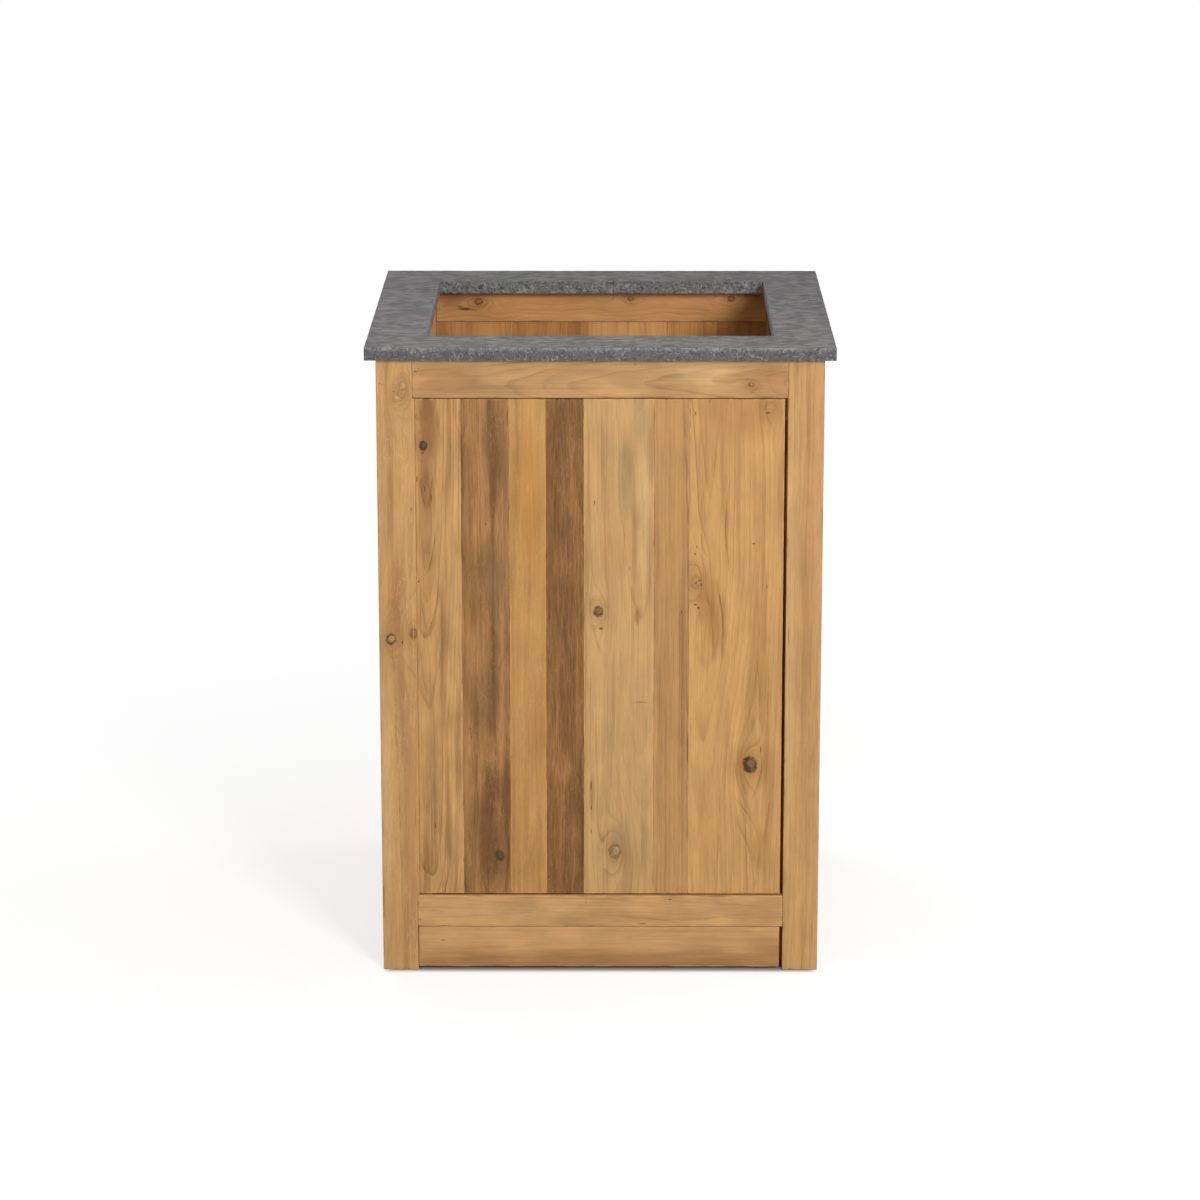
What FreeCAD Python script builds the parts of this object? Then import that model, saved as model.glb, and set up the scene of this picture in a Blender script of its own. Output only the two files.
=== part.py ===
import FreeCAD, Part
import math
import os

# Kitchen base cabinet in reclaimed pine, under a stone worktop with a cut-out for a sink or a hob.
# Millimetres. +X is to the right, +Y to the back and +Z up.
# The origin is on the floor, under the middle of the worktop.

# Overall sizes
WORKTOP_HEIGHT = 900.0
BODY_WIDTH = 615.0
BODY_DEPTH = 605.0

# Stone worktop and its bedding
STONE_THICKNESS = 18.0
STONE_SIDE_OVERHANG = 15.0
STONE_FRONT_OVERHANG = 15.0
STONE_ARRIS = 1.5
STONE_CORNER_RADIUS = 2.5
CUTOUT_WIDTH = 480.0
CUTOUT_DEPTH = 435.0
CUTOUT_FRONT_MARGIN = 90.0
CUTOUT_CORNER_RADIUS = 3.0
BED_THICKNESS = 1.0
BED_DAB_RADIUS = 9.0
BED_DAB_SPACING = 180.0

# Posts, rails and their joints
FRONT_POST_WIDTH = 50.0
FRONT_POST_DEPTH = 50.0
REAR_POST_WIDTH = 60.0
REAR_POST_DEPTH = 50.0
RAIL_THICKNESS = 25.0
TOP_RAIL_HEIGHT = 54.0
REAR_TOP_RAIL_HEIGHT = 50.0
BOTTOM_RAIL_HEIGHT = 46.0
BOTTOM_RAIL_LIFT = 65.0
TENON_LENGTH = 25.0
TENON_THICKNESS = 9.0
TENON_SHOULDER = 12.0
MORTISE_FIT = 0.2
MORTISE_END_GAP = 1.0

# Boards of the sides, the back and the floor
PANEL_THICKNESS = 12.0
GROOVE_DEPTH = 9.0
GROOVE_FIT = 0.3
PANEL_EDGE_GAP = 1.0
BACK_BOARD_WIDTHS = (113.5, 115.0, 117.0, 75.0, 74.5)
SIDE_BOARD_WIDTHS = (118.0, 142.0, 109.0, 136.0)
FLOOR_BOARD_WIDTHS = (140.0, 125.0, 150.0, 113.0)
FLOOR_THICKNESS = 18.0
FLOOR_GAP = 1.0
CLEAT_SIZE = 25.0

# Toe board
TOE_THICKNESS = 18.0
TOE_RECESS = 3.0
TOE_FLOOR_GAP = 4.0
TOE_TOP_GAP = 1.0
TOE_GAP_LEFT = 0.5
TOE_GAP_RIGHT = 4.0
TOE_BLOCK_SIZE = 25.0
TOE_BLOCK_SETBACK = 4.0

# Door
DOOR_THICKNESS = 20.0
DOOR_RECESS = 3.0
DOOR_GAP_HINGE = 1.5
DOOR_GAP_LATCH = 4.0
DOOR_GAP_TOP = 1.5
DOOR_GAP_BOTTOM = 2.0
DOOR_BOARD_WIDTHS = (64.0, 66.0, 51.0, 52.0, 97.5, 48.5, 130.5)
HINGE_EDGE_RADIUS = 3.0
BATTEN_WIDTH = 60.0
BATTEN_THICKNESS = 18.0
BATTEN_SIDE_INSET = 18.0
BATTEN_END_DISTANCE = 110.0
STOP_LENGTH = 200.0
STOP_THICKNESS = 18.0
STOP_DROP = 15.0
STOP_LAP = 30.0

# Pivot hinges
PIVOT_SIDE_INSET = 15.0
PIVOT_FACE_INSET = 8.0
PIVOT_PIN_RADIUS = 2.5
PIVOT_CLEARANCE = 0.05
PIVOT_PIN_REACH = 4.0
PIVOT_PIN_END_GAP = 1.0
PIVOT_PLATE_WIDTH = 10.0
PIVOT_PLATE_LENGTH = 46.0
PIVOT_PLATE_THICKNESS = 2.5
PIVOT_PLATE_FIT = 0.1
PIVOT_SCREW_OFFSETS = (18.0, 38.0)
WASHER_PLAY = 0.1

# Touch latch
LATCH_SIDE_INSET = 15.5
LATCH_DROP = 60.0
LATCH_REST_GAP = 0.3
LATCH_TRAVEL = 3.0
LATCH_STOP_PLAY = 0.2
STRIKE_RADIUS = 10.0
STRIKE_THICKNESS = 1.5
MAGNET_RADIUS = 4.0
MAGNET_THICKNESS = 2.0
PLUNGER_RADIUS = 2.5
PLUNGER_LENGTH = 28.0
PLUNGER_HEAD_THICKNESS = 1.0
HOUSING_RADIUS = 5.0
HOUSING_LENGTH = 60.0
HOUSING_END_WALL = 6.0
HOUSING_FIT = 0.05
SLEEVE_WALL = 3.0
SLEEVE_LENGTH = 40.0
HOLDER_PAD_THICKNESS = 3.0
HOLDER_PAD_HEIGHT = 50.0
HOLDER_WEB_THICKNESS = 8.0
HOLDER_EDGE_SETBACK = 2.0
HOLDER_SCREW_SPREAD = 34.0
SPRING_WIRE_RADIUS = 0.25
SPRING_BORE_PLAY = 0.35
SPRING_TURNS = 9
SPRING_SEAT_GAP = 0.05

# Countersunk screws in three sizes, their fit, how many hold a cleat or the door stop, and the cross recess
SCREW_HEAD_RADIUS = 4.0
SCREW_SHANK_RADIUS = 2.0
CARCASS_SCREW_LENGTH = 38.0
DOOR_SCREW_LENGTH = 32.0
SMALL_SCREW_HEAD_RADIUS = 3.4
SMALL_SCREW_SHANK_RADIUS = 1.7
SMALL_SCREW_LENGTH = 16.0
SCREW_FIT = 0.05
SCREWS_PER_STRIP = 2
RECESS_SLOT_WIDTH = 0.9
RECESS_DEPTH = 1.2

# Working values: a cutter's run past a face, the tolerance on finding an edge, and stations per spring turn
CUT_PAST = 1.0
NEAR = 0.01
SPRING_STATIONS_PER_TURN = 4

# Derived levels and planes
STONE_DEPTH = BODY_DEPTH + STONE_FRONT_OVERHANG
STONE_WIDTH = BODY_WIDTH + 2.0 * STONE_SIDE_OVERHANG
STONE_UNDERSIDE = WORKTOP_HEIGHT - STONE_THICKNESS
CARCASS_TOP = STONE_UNDERSIDE - BED_THICKNESS
STONE_FRONT = -STONE_DEPTH / 2.0
FRAME_FRONT = STONE_FRONT + STONE_FRONT_OVERHANG
FRAME_BACK = STONE_DEPTH / 2.0
FRAME_LEFT = -BODY_WIDTH / 2.0
FRAME_RIGHT = BODY_WIDTH / 2.0
OPENING_LEFT = FRAME_LEFT + FRONT_POST_WIDTH
OPENING_RIGHT = FRAME_RIGHT - FRONT_POST_WIDTH
OPENING_BOTTOM = BOTTOM_RAIL_LIFT + BOTTOM_RAIL_HEIGHT
OPENING_TOP = CARCASS_TOP - TOP_RAIL_HEIGHT
REAR_LEFT = FRAME_LEFT + REAR_POST_WIDTH
REAR_RIGHT = FRAME_RIGHT - REAR_POST_WIDTH
FRONT_POST_BACK = FRAME_FRONT + FRONT_POST_DEPTH
REAR_POST_FRONT = FRAME_BACK - REAR_POST_DEPTH
FRONT_RAIL_BACK = FRAME_FRONT + RAIL_THICKNESS
LEFT_RAIL_INSIDE = FRAME_LEFT + RAIL_THICKNESS
RIGHT_RAIL_INSIDE = FRAME_RIGHT - RAIL_THICKNESS
DOOR_LEFT = OPENING_LEFT + DOOR_GAP_HINGE
DOOR_RIGHT = OPENING_RIGHT - DOOR_GAP_LATCH
DOOR_BOTTOM = OPENING_BOTTOM + DOOR_GAP_BOTTOM
DOOR_TOP = OPENING_TOP - DOOR_GAP_TOP
DOOR_FRONT = FRAME_FRONT + DOOR_RECESS
DOOR_BACK = DOOR_FRONT + DOOR_THICKNESS
PIVOT_X = DOOR_LEFT + PIVOT_SIDE_INSET
PIVOT_Y = DOOR_FRONT + PIVOT_FACE_INSET
LATCH_X = DOOR_RIGHT - LATCH_SIDE_INSET
LATCH_Z = DOOR_TOP - LATCH_DROP
LATCH_FRONT = DOOR_BACK + STRIKE_THICKNESS + LATCH_REST_GAP

UP = FreeCAD.Vector(0, 0, 1)
DOWN = FreeCAD.Vector(0, 0, -1)
TO_FRONT = FreeCAD.Vector(0, -1, 0)
TO_BACK = FreeCAD.Vector(0, 1, 0)
TO_LEFT = FreeCAD.Vector(-1, 0, 0)
TO_RIGHT = FreeCAD.Vector(1, 0, 0)

pieces = {}


def block(x, y, z):
    """A box between the given (low, high) pairs."""
    corner = FreeCAD.Vector(x[0], y[0], z[0])
    return Part.makeBox(x[1] - x[0], y[1] - y[0], z[1] - z[0], corner)


def rod(radius, start, direction, length):
    """A round bar from a point along a direction."""
    return Part.makeCylinder(radius, length, start, direction)


def grown(span, amount):
    """A (low, high) pair widened by the same amount at both ends."""
    return (span[0] - amount, span[1] + amount)


def middle(span):
    """The centre of a (low, high) pair."""
    return (span[0] + span[1]) / 2.0


def bays(span, spacing):
    """How many bays of about a given spacing fill a span."""
    return max(1, round((span[1] - span[0]) / spacing))


def spread(span, count):
    """Places of a row of equal bays along a span, one at the middle of each bay."""
    bay = (span[1] - span[0]) / count
    return [span[0] + bay * (i + 0.5) for i in range(count)]


def rip(span, widths):
    """Edges of boards laid side by side, each planed by the same amount so that they fill the span."""
    planed = (span[1] - span[0] - sum(widths)) / len(widths)
    edges = []
    start = span[0]
    for width in widths:
        edges.append((start, start + width + planed))
        start = edges[-1][1]
    return edges


def cut_all(shape, cutters):
    """A solid less every cutter that reaches it."""
    for cutter in cutters:
        if shape.BoundBox.intersect(cutter.BoundBox):
            shape = shape.cut(cutter)
    return shape


def aimed(shape, start, direction):
    """A copy of a shape drawn along +Z, set at a point and turned to a direction."""
    turned = shape.copy()
    turned.Placement = FreeCAD.Placement(start, FreeCAD.Rotation(UP, direction))
    return turned


def turned_solid(profile):
    """A solid of revolution about Z from (radius, height) points."""
    points = [FreeCAD.Vector(r, 0, z) for r, z in profile]
    outline = Part.makePolygon(points + points[:1])
    return Part.Face(outline).revolve(FreeCAD.Vector(0, 0, 0), UP, 360)


def screw_pattern(head_radius, shank_radius, length):
    """A countersunk cross-recess screw and the hole that it fills, both head first along +Z."""
    head_depth = head_radius - shank_radius
    tip = length - 2.0 * shank_radius
    screw = turned_solid(
        [(0, 0), (head_radius, 0), (shank_radius, head_depth), (shank_radius, tip), (0, length)]
    )
    half_slot = RECESS_SLOT_WIDTH / 2.0
    arm = head_radius - 2.0 * half_slot
    for across, along in ((half_slot, arm), (arm, half_slot)):
        screw = screw.cut(block((-across, across), (-along, along), (-RECESS_DEPTH, RECESS_DEPTH)))
    mouth = head_radius + SCREW_FIT
    shank = shank_radius + SCREW_FIT
    hole = turned_solid(
        [
            (0, -CUT_PAST),
            (mouth, -CUT_PAST),
            (mouth, 0),
            (shank, head_depth),
            (shank, tip),
            (0, length + SCREW_FIT),
        ]
    )
    return screw, hole


class ScrewRow:
    """Screws of one size in one group, with their holes."""

    def __init__(self, head_radius, shank_radius, length):
        self.screw, self.hole = screw_pattern(head_radius, shank_radius, length)
        self.screws = []
        self.holes = []

    def drive(self, x, y, z, direction):
        start = FreeCAD.Vector(x, y, z)
        self.screws.append(aimed(self.screw, start, direction))
        self.holes.append(aimed(self.hole, start, direction))


carcass_screws = ScrewRow(SCREW_HEAD_RADIUS, SCREW_SHANK_RADIUS, CARCASS_SCREW_LENGTH)
door_screws = ScrewRow(SCREW_HEAD_RADIUS, SCREW_SHANK_RADIUS, DOOR_SCREW_LENGTH)
frame_hardware_screws = ScrewRow(SMALL_SCREW_HEAD_RADIUS, SMALL_SCREW_SHANK_RADIUS, SMALL_SCREW_LENGTH)
door_hardware_screws = ScrewRow(SMALL_SCREW_HEAD_RADIUS, SMALL_SCREW_SHANK_RADIUS, SMALL_SCREW_LENGTH)

# Stone worktop: a slab with rounded corners, a rectangular cut-out and a small arris round its top edges.
stone = block(
    (-STONE_WIDTH / 2.0, STONE_WIDTH / 2.0), (STONE_FRONT, FRAME_BACK), (STONE_UNDERSIDE, WORKTOP_HEIGHT)
)
cutout_front = STONE_FRONT + CUTOUT_FRONT_MARGIN
cutout = block(
    (-CUTOUT_WIDTH / 2.0, CUTOUT_WIDTH / 2.0),
    (cutout_front, cutout_front + CUTOUT_DEPTH),
    (STONE_UNDERSIDE - CUT_PAST, WORKTOP_HEIGHT + CUT_PAST),
)


def standing_edges(shape):
    """The vertical edges of a block."""
    return [e for e in shape.Edges if e.BoundBox.ZLength > e.BoundBox.DiagonalLength - NEAR]


stone = stone.makeFillet(STONE_CORNER_RADIUS, standing_edges(stone))
cutout = cutout.makeFillet(CUTOUT_CORNER_RADIUS, standing_edges(cutout))
stone = stone.cut(cutout)
top_edges = [e for e in stone.Edges if e.BoundBox.ZMin > WORKTOP_HEIGHT - NEAR]
pieces["stone_top"] = stone.makeFillet(STONE_ARRIS, top_edges)

# Rails: each is named with its spans in X, Y and Z, and runs between two posts with a stub tenon in each.
FRONT_RAIL_Y = (FRAME_FRONT, FRONT_RAIL_BACK)
REAR_RAIL_Y = (REAR_POST_FRONT, REAR_POST_FRONT + RAIL_THICKNESS)
LEFT_RAIL_X = (FRAME_LEFT, LEFT_RAIL_INSIDE)
RIGHT_RAIL_X = (RIGHT_RAIL_INSIDE, FRAME_RIGHT)
FRONT_SPAN = (OPENING_LEFT, OPENING_RIGHT)
REAR_SPAN = (REAR_LEFT, REAR_RIGHT)
SIDE_SPAN = (FRONT_POST_BACK, REAR_POST_FRONT)
TOP_Z = (OPENING_TOP, CARCASS_TOP)
REAR_TOP_Z = (CARCASS_TOP - REAR_TOP_RAIL_HEIGHT, CARCASS_TOP)
BOTTOM_Z = (BOTTOM_RAIL_LIFT, OPENING_BOTTOM)
RAILS_ALONG_X = {
    "front_top_rail": (FRONT_SPAN, FRONT_RAIL_Y, TOP_Z),
    "front_bottom_rail": (FRONT_SPAN, FRONT_RAIL_Y, BOTTOM_Z),
    "rear_top_rail": (REAR_SPAN, REAR_RAIL_Y, REAR_TOP_Z),
    "rear_bottom_rail": (REAR_SPAN, REAR_RAIL_Y, BOTTOM_Z),
}
RAILS_ALONG_Y = {
    "left_top_rail": (LEFT_RAIL_X, SIDE_SPAN, TOP_Z),
    "left_bottom_rail": (LEFT_RAIL_X, SIDE_SPAN, BOTTOM_Z),
    "right_top_rail": (RIGHT_RAIL_X, SIDE_SPAN, TOP_Z),
    "right_bottom_rail": (RIGHT_RAIL_X, SIDE_SPAN, BOTTOM_Z),
}


def tenon_bar(span, thickness, height, length, fit):
    """Spans of the bar that is both tenons of a rail: along the rail, across it and up."""
    centre = middle(thickness)
    half = TENON_THICKNESS / 2.0 + fit
    along = grown(span, length)
    return along, (centre - half, centre + half), grown(height, fit - TENON_SHOULDER)


mortises = []
for name, (x, y, z) in RAILS_ALONG_X.items():
    along, across, height = tenon_bar(x, y, z, TENON_LENGTH, 0.0)
    pieces[name] = block(x, y, z).fuse(block(along, across, height)).removeSplitter()
    along, across, height = tenon_bar(x, y, z, TENON_LENGTH + MORTISE_END_GAP, MORTISE_FIT)
    mortises.append(block(along, across, height))
for name, (x, y, z) in RAILS_ALONG_Y.items():
    along, across, height = tenon_bar(y, x, z, TENON_LENGTH, 0.0)
    pieces[name] = block(x, y, z).fuse(block(across, along, height)).removeSplitter()
    along, across, height = tenon_bar(y, x, z, TENON_LENGTH + MORTISE_END_GAP, MORTISE_FIT)
    mortises.append(block(across, along, height))

# Panels of upright boards, set in grooves in the posts and rails round them.
PANEL_HALF = PANEL_THICKNESS / 2.0


def panel(name, span, thickness, height, widths, runs_along_x):
    """Boards of one panel, and the groove that holds them on all four sides."""
    centre = middle(thickness)
    across = (centre - PANEL_HALF, centre + PANEL_HALF)
    stand = (height[0] - GROOVE_DEPTH, height[1] + GROOVE_DEPTH - PANEL_EDGE_GAP)
    edges = rip(span, widths)
    edges[0] = (span[0] - GROOVE_DEPTH + PANEL_EDGE_GAP, edges[0][1])
    edges[-1] = (edges[-1][0], span[1] + GROOVE_DEPTH - PANEL_EDGE_GAP)
    for number, edge in enumerate(edges, 1):
        board = block(edge, across, stand) if runs_along_x else block(across, edge, stand)
        pieces[f"{name}_board_{number}"] = board
    groove = (grown(span, GROOVE_DEPTH), grown(across, GROOVE_FIT), grown(height, GROOVE_DEPTH))
    return block(*groove) if runs_along_x else block(groove[1], groove[0], groove[2])


grooves = [
    panel("back", REAR_SPAN, REAR_RAIL_Y, (OPENING_BOTTOM, REAR_TOP_Z[0]), BACK_BOARD_WIDTHS, True),
    panel("left", SIDE_SPAN, LEFT_RAIL_X, (OPENING_BOTTOM, OPENING_TOP), SIDE_BOARD_WIDTHS, False),
    panel("right", SIDE_SPAN, RIGHT_RAIL_X, (OPENING_BOTTOM, OPENING_TOP), SIDE_BOARD_WIDTHS[::-1], False),
]
for name in [*RAILS_ALONG_X, *RAILS_ALONG_Y]:
    pieces[name] = cut_all(pieces[name], grooves)

# Posts: four squared timbers that reach the floor, with the mortises and grooves cut in them.
POSTS = {
    "front_left_post": ((FRAME_LEFT, OPENING_LEFT), (FRAME_FRONT, FRONT_POST_BACK)),
    "front_right_post": ((OPENING_RIGHT, FRAME_RIGHT), (FRAME_FRONT, FRONT_POST_BACK)),
    "rear_left_post": ((FRAME_LEFT, REAR_LEFT), (REAR_POST_FRONT, FRAME_BACK)),
    "rear_right_post": ((REAR_RIGHT, FRAME_RIGHT), (REAR_POST_FRONT, FRAME_BACK)),
}
for name, (x, y) in POSTS.items():
    pieces[name] = cut_all(block(x, y, (0.0, CARCASS_TOP)), mortises + grooves)

# Floor: cleats on the side rails, and boards across them that are notched round the posts.
FLOOR_UNDERSIDE = OPENING_BOTTOM - FLOOR_THICKNESS
CLEAT_Z = (FLOOR_UNDERSIDE - CLEAT_SIZE, FLOOR_UNDERSIDE)
CLEAT_Y = grown(SIDE_SPAN, -FLOOR_GAP)
LEFT_CLEAT_X = (LEFT_RAIL_INSIDE, LEFT_RAIL_INSIDE + CLEAT_SIZE)
RIGHT_CLEAT_X = (RIGHT_RAIL_INSIDE - CLEAT_SIZE, RIGHT_RAIL_INSIDE)
pieces["left_floor_cleat"] = block(LEFT_CLEAT_X, CLEAT_Y, CLEAT_Z)
pieces["right_floor_cleat"] = block(RIGHT_CLEAT_X, CLEAT_Y, CLEAT_Z)
for y in spread(CLEAT_Y, SCREWS_PER_STRIP):
    carcass_screws.drive(LEFT_CLEAT_X[1], y, middle(CLEAT_Z), TO_LEFT)
    carcass_screws.drive(RIGHT_CLEAT_X[0], y, middle(CLEAT_Z), TO_RIGHT)

notches = [
    block(grown(x, FLOOR_GAP), grown(y, FLOOR_GAP), (0.0, CARCASS_TOP)) for x, y in POSTS.values()
]
FLOOR_X = (LEFT_RAIL_INSIDE + FLOOR_GAP, RIGHT_RAIL_INSIDE - FLOOR_GAP)
FLOOR_Y = (FRONT_RAIL_BACK + FLOOR_GAP, REAR_POST_FRONT - FLOOR_GAP)
for number, edge in enumerate(rip(FLOOR_Y, FLOOR_BOARD_WIDTHS), 1):
    board = block(FLOOR_X, edge, (FLOOR_UNDERSIDE, OPENING_BOTTOM))
    pieces[f"floor_board_{number}"] = cut_all(board, notches)
    for cleat_x in (LEFT_CLEAT_X, RIGHT_CLEAT_X):
        carcass_screws.drive(middle(cleat_x), middle(edge), OPENING_BOTTOM, DOWN)

# Toe board: set back a little under the bottom rail, and screwed from behind to a block on each front post.
TOE_FRONT = FRAME_FRONT + TOE_RECESS
TOE_BACK = TOE_FRONT + TOE_THICKNESS
TOE_Z = (TOE_FLOOR_GAP, BOTTOM_RAIL_LIFT - TOE_TOP_GAP)
TOE_BLOCK_Y = (TOE_BACK, TOE_BACK + TOE_BLOCK_SIZE)
TOE_BLOCK_Z = grown(TOE_Z, -TOE_BLOCK_SETBACK)
pieces["toe_board"] = block(
    (OPENING_LEFT + TOE_GAP_LEFT, OPENING_RIGHT - TOE_GAP_RIGHT), (TOE_FRONT, TOE_BACK), TOE_Z
)
LOWER_TOE_SCREW, UPPER_TOE_SCREW = spread(TOE_BLOCK_Z, 2)
LEFT_TOE_BLOCK_X = (OPENING_LEFT, OPENING_LEFT + TOE_BLOCK_SIZE)
RIGHT_TOE_BLOCK_X = (OPENING_RIGHT - TOE_BLOCK_SIZE, OPENING_RIGHT)
pieces["toe_blocks"] = Part.makeCompound(
    [block(x, TOE_BLOCK_Y, TOE_BLOCK_Z) for x in (LEFT_TOE_BLOCK_X, RIGHT_TOE_BLOCK_X)]
)
for x in (LEFT_TOE_BLOCK_X, RIGHT_TOE_BLOCK_X):
    carcass_screws.drive(middle(x), TOE_BLOCK_Y[1], LOWER_TOE_SCREW, TO_FRONT)
carcass_screws.drive(LEFT_TOE_BLOCK_X[1], middle(TOE_BLOCK_Y), UPPER_TOE_SCREW, TO_LEFT)
carcass_screws.drive(RIGHT_TOE_BLOCK_X[0], middle(TOE_BLOCK_Y), UPPER_TOE_SCREW, TO_RIGHT)

# Door stop: a strip behind the top rail that hangs below it and catches the head of the door.
STOP_X = (-STOP_LENGTH / 2.0, STOP_LENGTH / 2.0)
STOP_Y = (FRONT_RAIL_BACK, FRONT_RAIL_BACK + STOP_THICKNESS)
pieces["door_stop"] = block(STOP_X, STOP_Y, (OPENING_TOP - STOP_DROP, OPENING_TOP + STOP_LAP))
for x in spread(STOP_X, SCREWS_PER_STRIP):
    carcass_screws.drive(x, STOP_Y[1], OPENING_TOP + STOP_LAP / 2.0, TO_FRONT)

# Bedding: dabs of mortar on the tops of the rails, under the stone.
dabs = []
for name in ("front_top_rail", "rear_top_rail"):
    x, y, _ = RAILS_ALONG_X[name]
    dabs += [(place, middle(y)) for place in spread(x, bays(x, BED_DAB_SPACING))]
for name in ("left_top_rail", "right_top_rail"):
    x, y, _ = RAILS_ALONG_Y[name]
    dabs += [(middle(x), place) for place in spread(y, bays(y, BED_DAB_SPACING))]
pieces["bedding_dabs"] = Part.makeCompound(
    [rod(BED_DAB_RADIUS, FreeCAD.Vector(x, y, CARCASS_TOP), UP, BED_THICKNESS) for x, y in dabs]
)

# Door: upright boards edge to edge, held by two battens screwed across their backs.
DOOR_Y = (DOOR_FRONT, DOOR_BACK)
DOOR_Z = (DOOR_BOTTOM, DOOR_TOP)
BATTEN_X = (DOOR_LEFT + BATTEN_SIDE_INSET, DOOR_RIGHT - BATTEN_SIDE_INSET)
BATTEN_Y = (DOOR_BACK, DOOR_BACK + BATTEN_THICKNESS)
LOWER_BATTEN_FOOT = DOOR_BOTTOM + BATTEN_END_DISTANCE
UPPER_BATTEN_HEAD = DOOR_TOP - BATTEN_END_DISTANCE
BATTENS = {
    "lower_door_batten": (LOWER_BATTEN_FOOT, LOWER_BATTEN_FOOT + BATTEN_WIDTH),
    "upper_door_batten": (UPPER_BATTEN_HEAD - BATTEN_WIDTH, UPPER_BATTEN_HEAD),
}
door_boards = rip((DOOR_LEFT, DOOR_RIGHT), DOOR_BOARD_WIDTHS)
for number, edge in enumerate(door_boards, 1):
    pieces[f"door_board_{number}"] = block(edge, DOOR_Y, DOOR_Z)
hinge_board = pieces["door_board_1"]
hinge_edge = [
    e for e in standing_edges(hinge_board)
    if e.BoundBox.XMax < DOOR_LEFT + NEAR and e.BoundBox.YMax < DOOR_FRONT + NEAR
]
pieces["door_board_1"] = hinge_board.makeFillet(HINGE_EDGE_RADIUS, hinge_edge)
for name, z in BATTENS.items():
    pieces[name] = block(BATTEN_X, BATTEN_Y, z)
    for edge in door_boards:
        held = (max(edge[0], BATTEN_X[0]), min(edge[1], BATTEN_X[1]))
        door_screws.drive(middle(held), BATTEN_Y[1], middle(z), TO_FRONT)

# Pivot hinges: plates let in flush at the head and foot of the door, one of each pair with a riveted pin.
PIVOT_HALF = PIVOT_PLATE_WIDTH / 2.0
PIN_LENGTH_BELOW = 2.0 * PIVOT_PLATE_THICKNESS + DOOR_GAP_BOTTOM + PIVOT_PIN_REACH
PIN_LENGTH_ABOVE = 2.0 * PIVOT_PLATE_THICKNESS + DOOR_GAP_TOP + PIVOT_PIN_REACH


def pivot_at(z):
    """The point of the pivot axis at a height."""
    return FreeCAD.Vector(PIVOT_X, PIVOT_Y, z)


def pivot_plate(z, fit):
    """A plate with a round end about the pivot axis, grown sideways by a fit."""
    half = PIVOT_HALF + fit
    bar = block((PIVOT_X, PIVOT_X + PIVOT_PLATE_LENGTH + fit), (PIVOT_Y - half, PIVOT_Y + half), z)
    return bar.fuse(rod(half, pivot_at(z[0]), UP, z[1] - z[0])).removeSplitter()


FOOT_FRAME_Z = (OPENING_BOTTOM - PIVOT_PLATE_THICKNESS, OPENING_BOTTOM)
FOOT_DOOR_Z = (DOOR_BOTTOM, DOOR_BOTTOM + PIVOT_PLATE_THICKNESS)
HEAD_FRAME_Z = (OPENING_TOP, OPENING_TOP + PIVOT_PLATE_THICKNESS)
HEAD_DOOR_Z = (DOOR_TOP - PIVOT_PLATE_THICKNESS, DOOR_TOP)
BORE_RADIUS = PIVOT_PIN_RADIUS + PIVOT_CLEARANCE
foot_pin = rod(PIVOT_PIN_RADIUS, pivot_at(FOOT_FRAME_Z[0]), UP, PIN_LENGTH_BELOW)
head_pin = rod(PIVOT_PIN_RADIUS, pivot_at(HEAD_DOOR_Z[0]), UP, PIN_LENGTH_ABOVE)
foot_bore = rod(BORE_RADIUS, pivot_at(FOOT_DOOR_Z[0]), UP, PIVOT_PLATE_THICKNESS)
head_bore = rod(BORE_RADIUS, pivot_at(HEAD_FRAME_Z[0]), UP, PIVOT_PLATE_THICKNESS)
frame_plates = {
    "lower_pivot_frame_plate": pivot_plate(FOOT_FRAME_Z, 0.0).fuse(foot_pin).removeSplitter(),
    "upper_pivot_frame_plate": pivot_plate(HEAD_FRAME_Z, 0.0).cut(head_bore),
}
door_plates = {
    "lower_pivot_door_plate": pivot_plate(FOOT_DOOR_Z, 0.0).cut(foot_bore),
    "upper_pivot_door_plate": pivot_plate(HEAD_DOOR_Z, 0.0).fuse(head_pin).removeSplitter(),
}
for offset in PIVOT_SCREW_OFFSETS:
    frame_hardware_screws.drive(PIVOT_X + offset, PIVOT_Y, OPENING_BOTTOM, DOWN)
    frame_hardware_screws.drive(PIVOT_X + offset, PIVOT_Y, OPENING_TOP, UP)
    door_hardware_screws.drive(PIVOT_X + offset, PIVOT_Y, DOOR_BOTTOM, UP)
    door_hardware_screws.drive(PIVOT_X + offset, PIVOT_Y, DOOR_TOP, DOWN)
washer_height = DOOR_GAP_BOTTOM - WASHER_PLAY
washer = rod(PIVOT_HALF, pivot_at(OPENING_BOTTOM), UP, washer_height)
pieces["pivot_washer"] = washer.cut(rod(BORE_RADIUS, pivot_at(OPENING_BOTTOM), UP, washer_height))

# Room in the rails and in the door for the plates and for the free ends of the pins.
pin_room = PIVOT_PIN_REACH + PIVOT_PIN_END_GAP
pin_room_radius = PIVOT_PIN_RADIUS + PIVOT_PIN_END_GAP
frame_housings = [
    pivot_plate(FOOT_FRAME_Z, PIVOT_PLATE_FIT),
    pivot_plate(HEAD_FRAME_Z, PIVOT_PLATE_FIT),
    rod(pin_room_radius, pivot_at(HEAD_FRAME_Z[1]), UP, pin_room),
]
door_housings = [
    pivot_plate(FOOT_DOOR_Z, PIVOT_PLATE_FIT),
    pivot_plate(HEAD_DOOR_Z, PIVOT_PLATE_FIT),
    rod(pin_room_radius, pivot_at(FOOT_DOOR_Z[1]), UP, pin_room),
]

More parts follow.
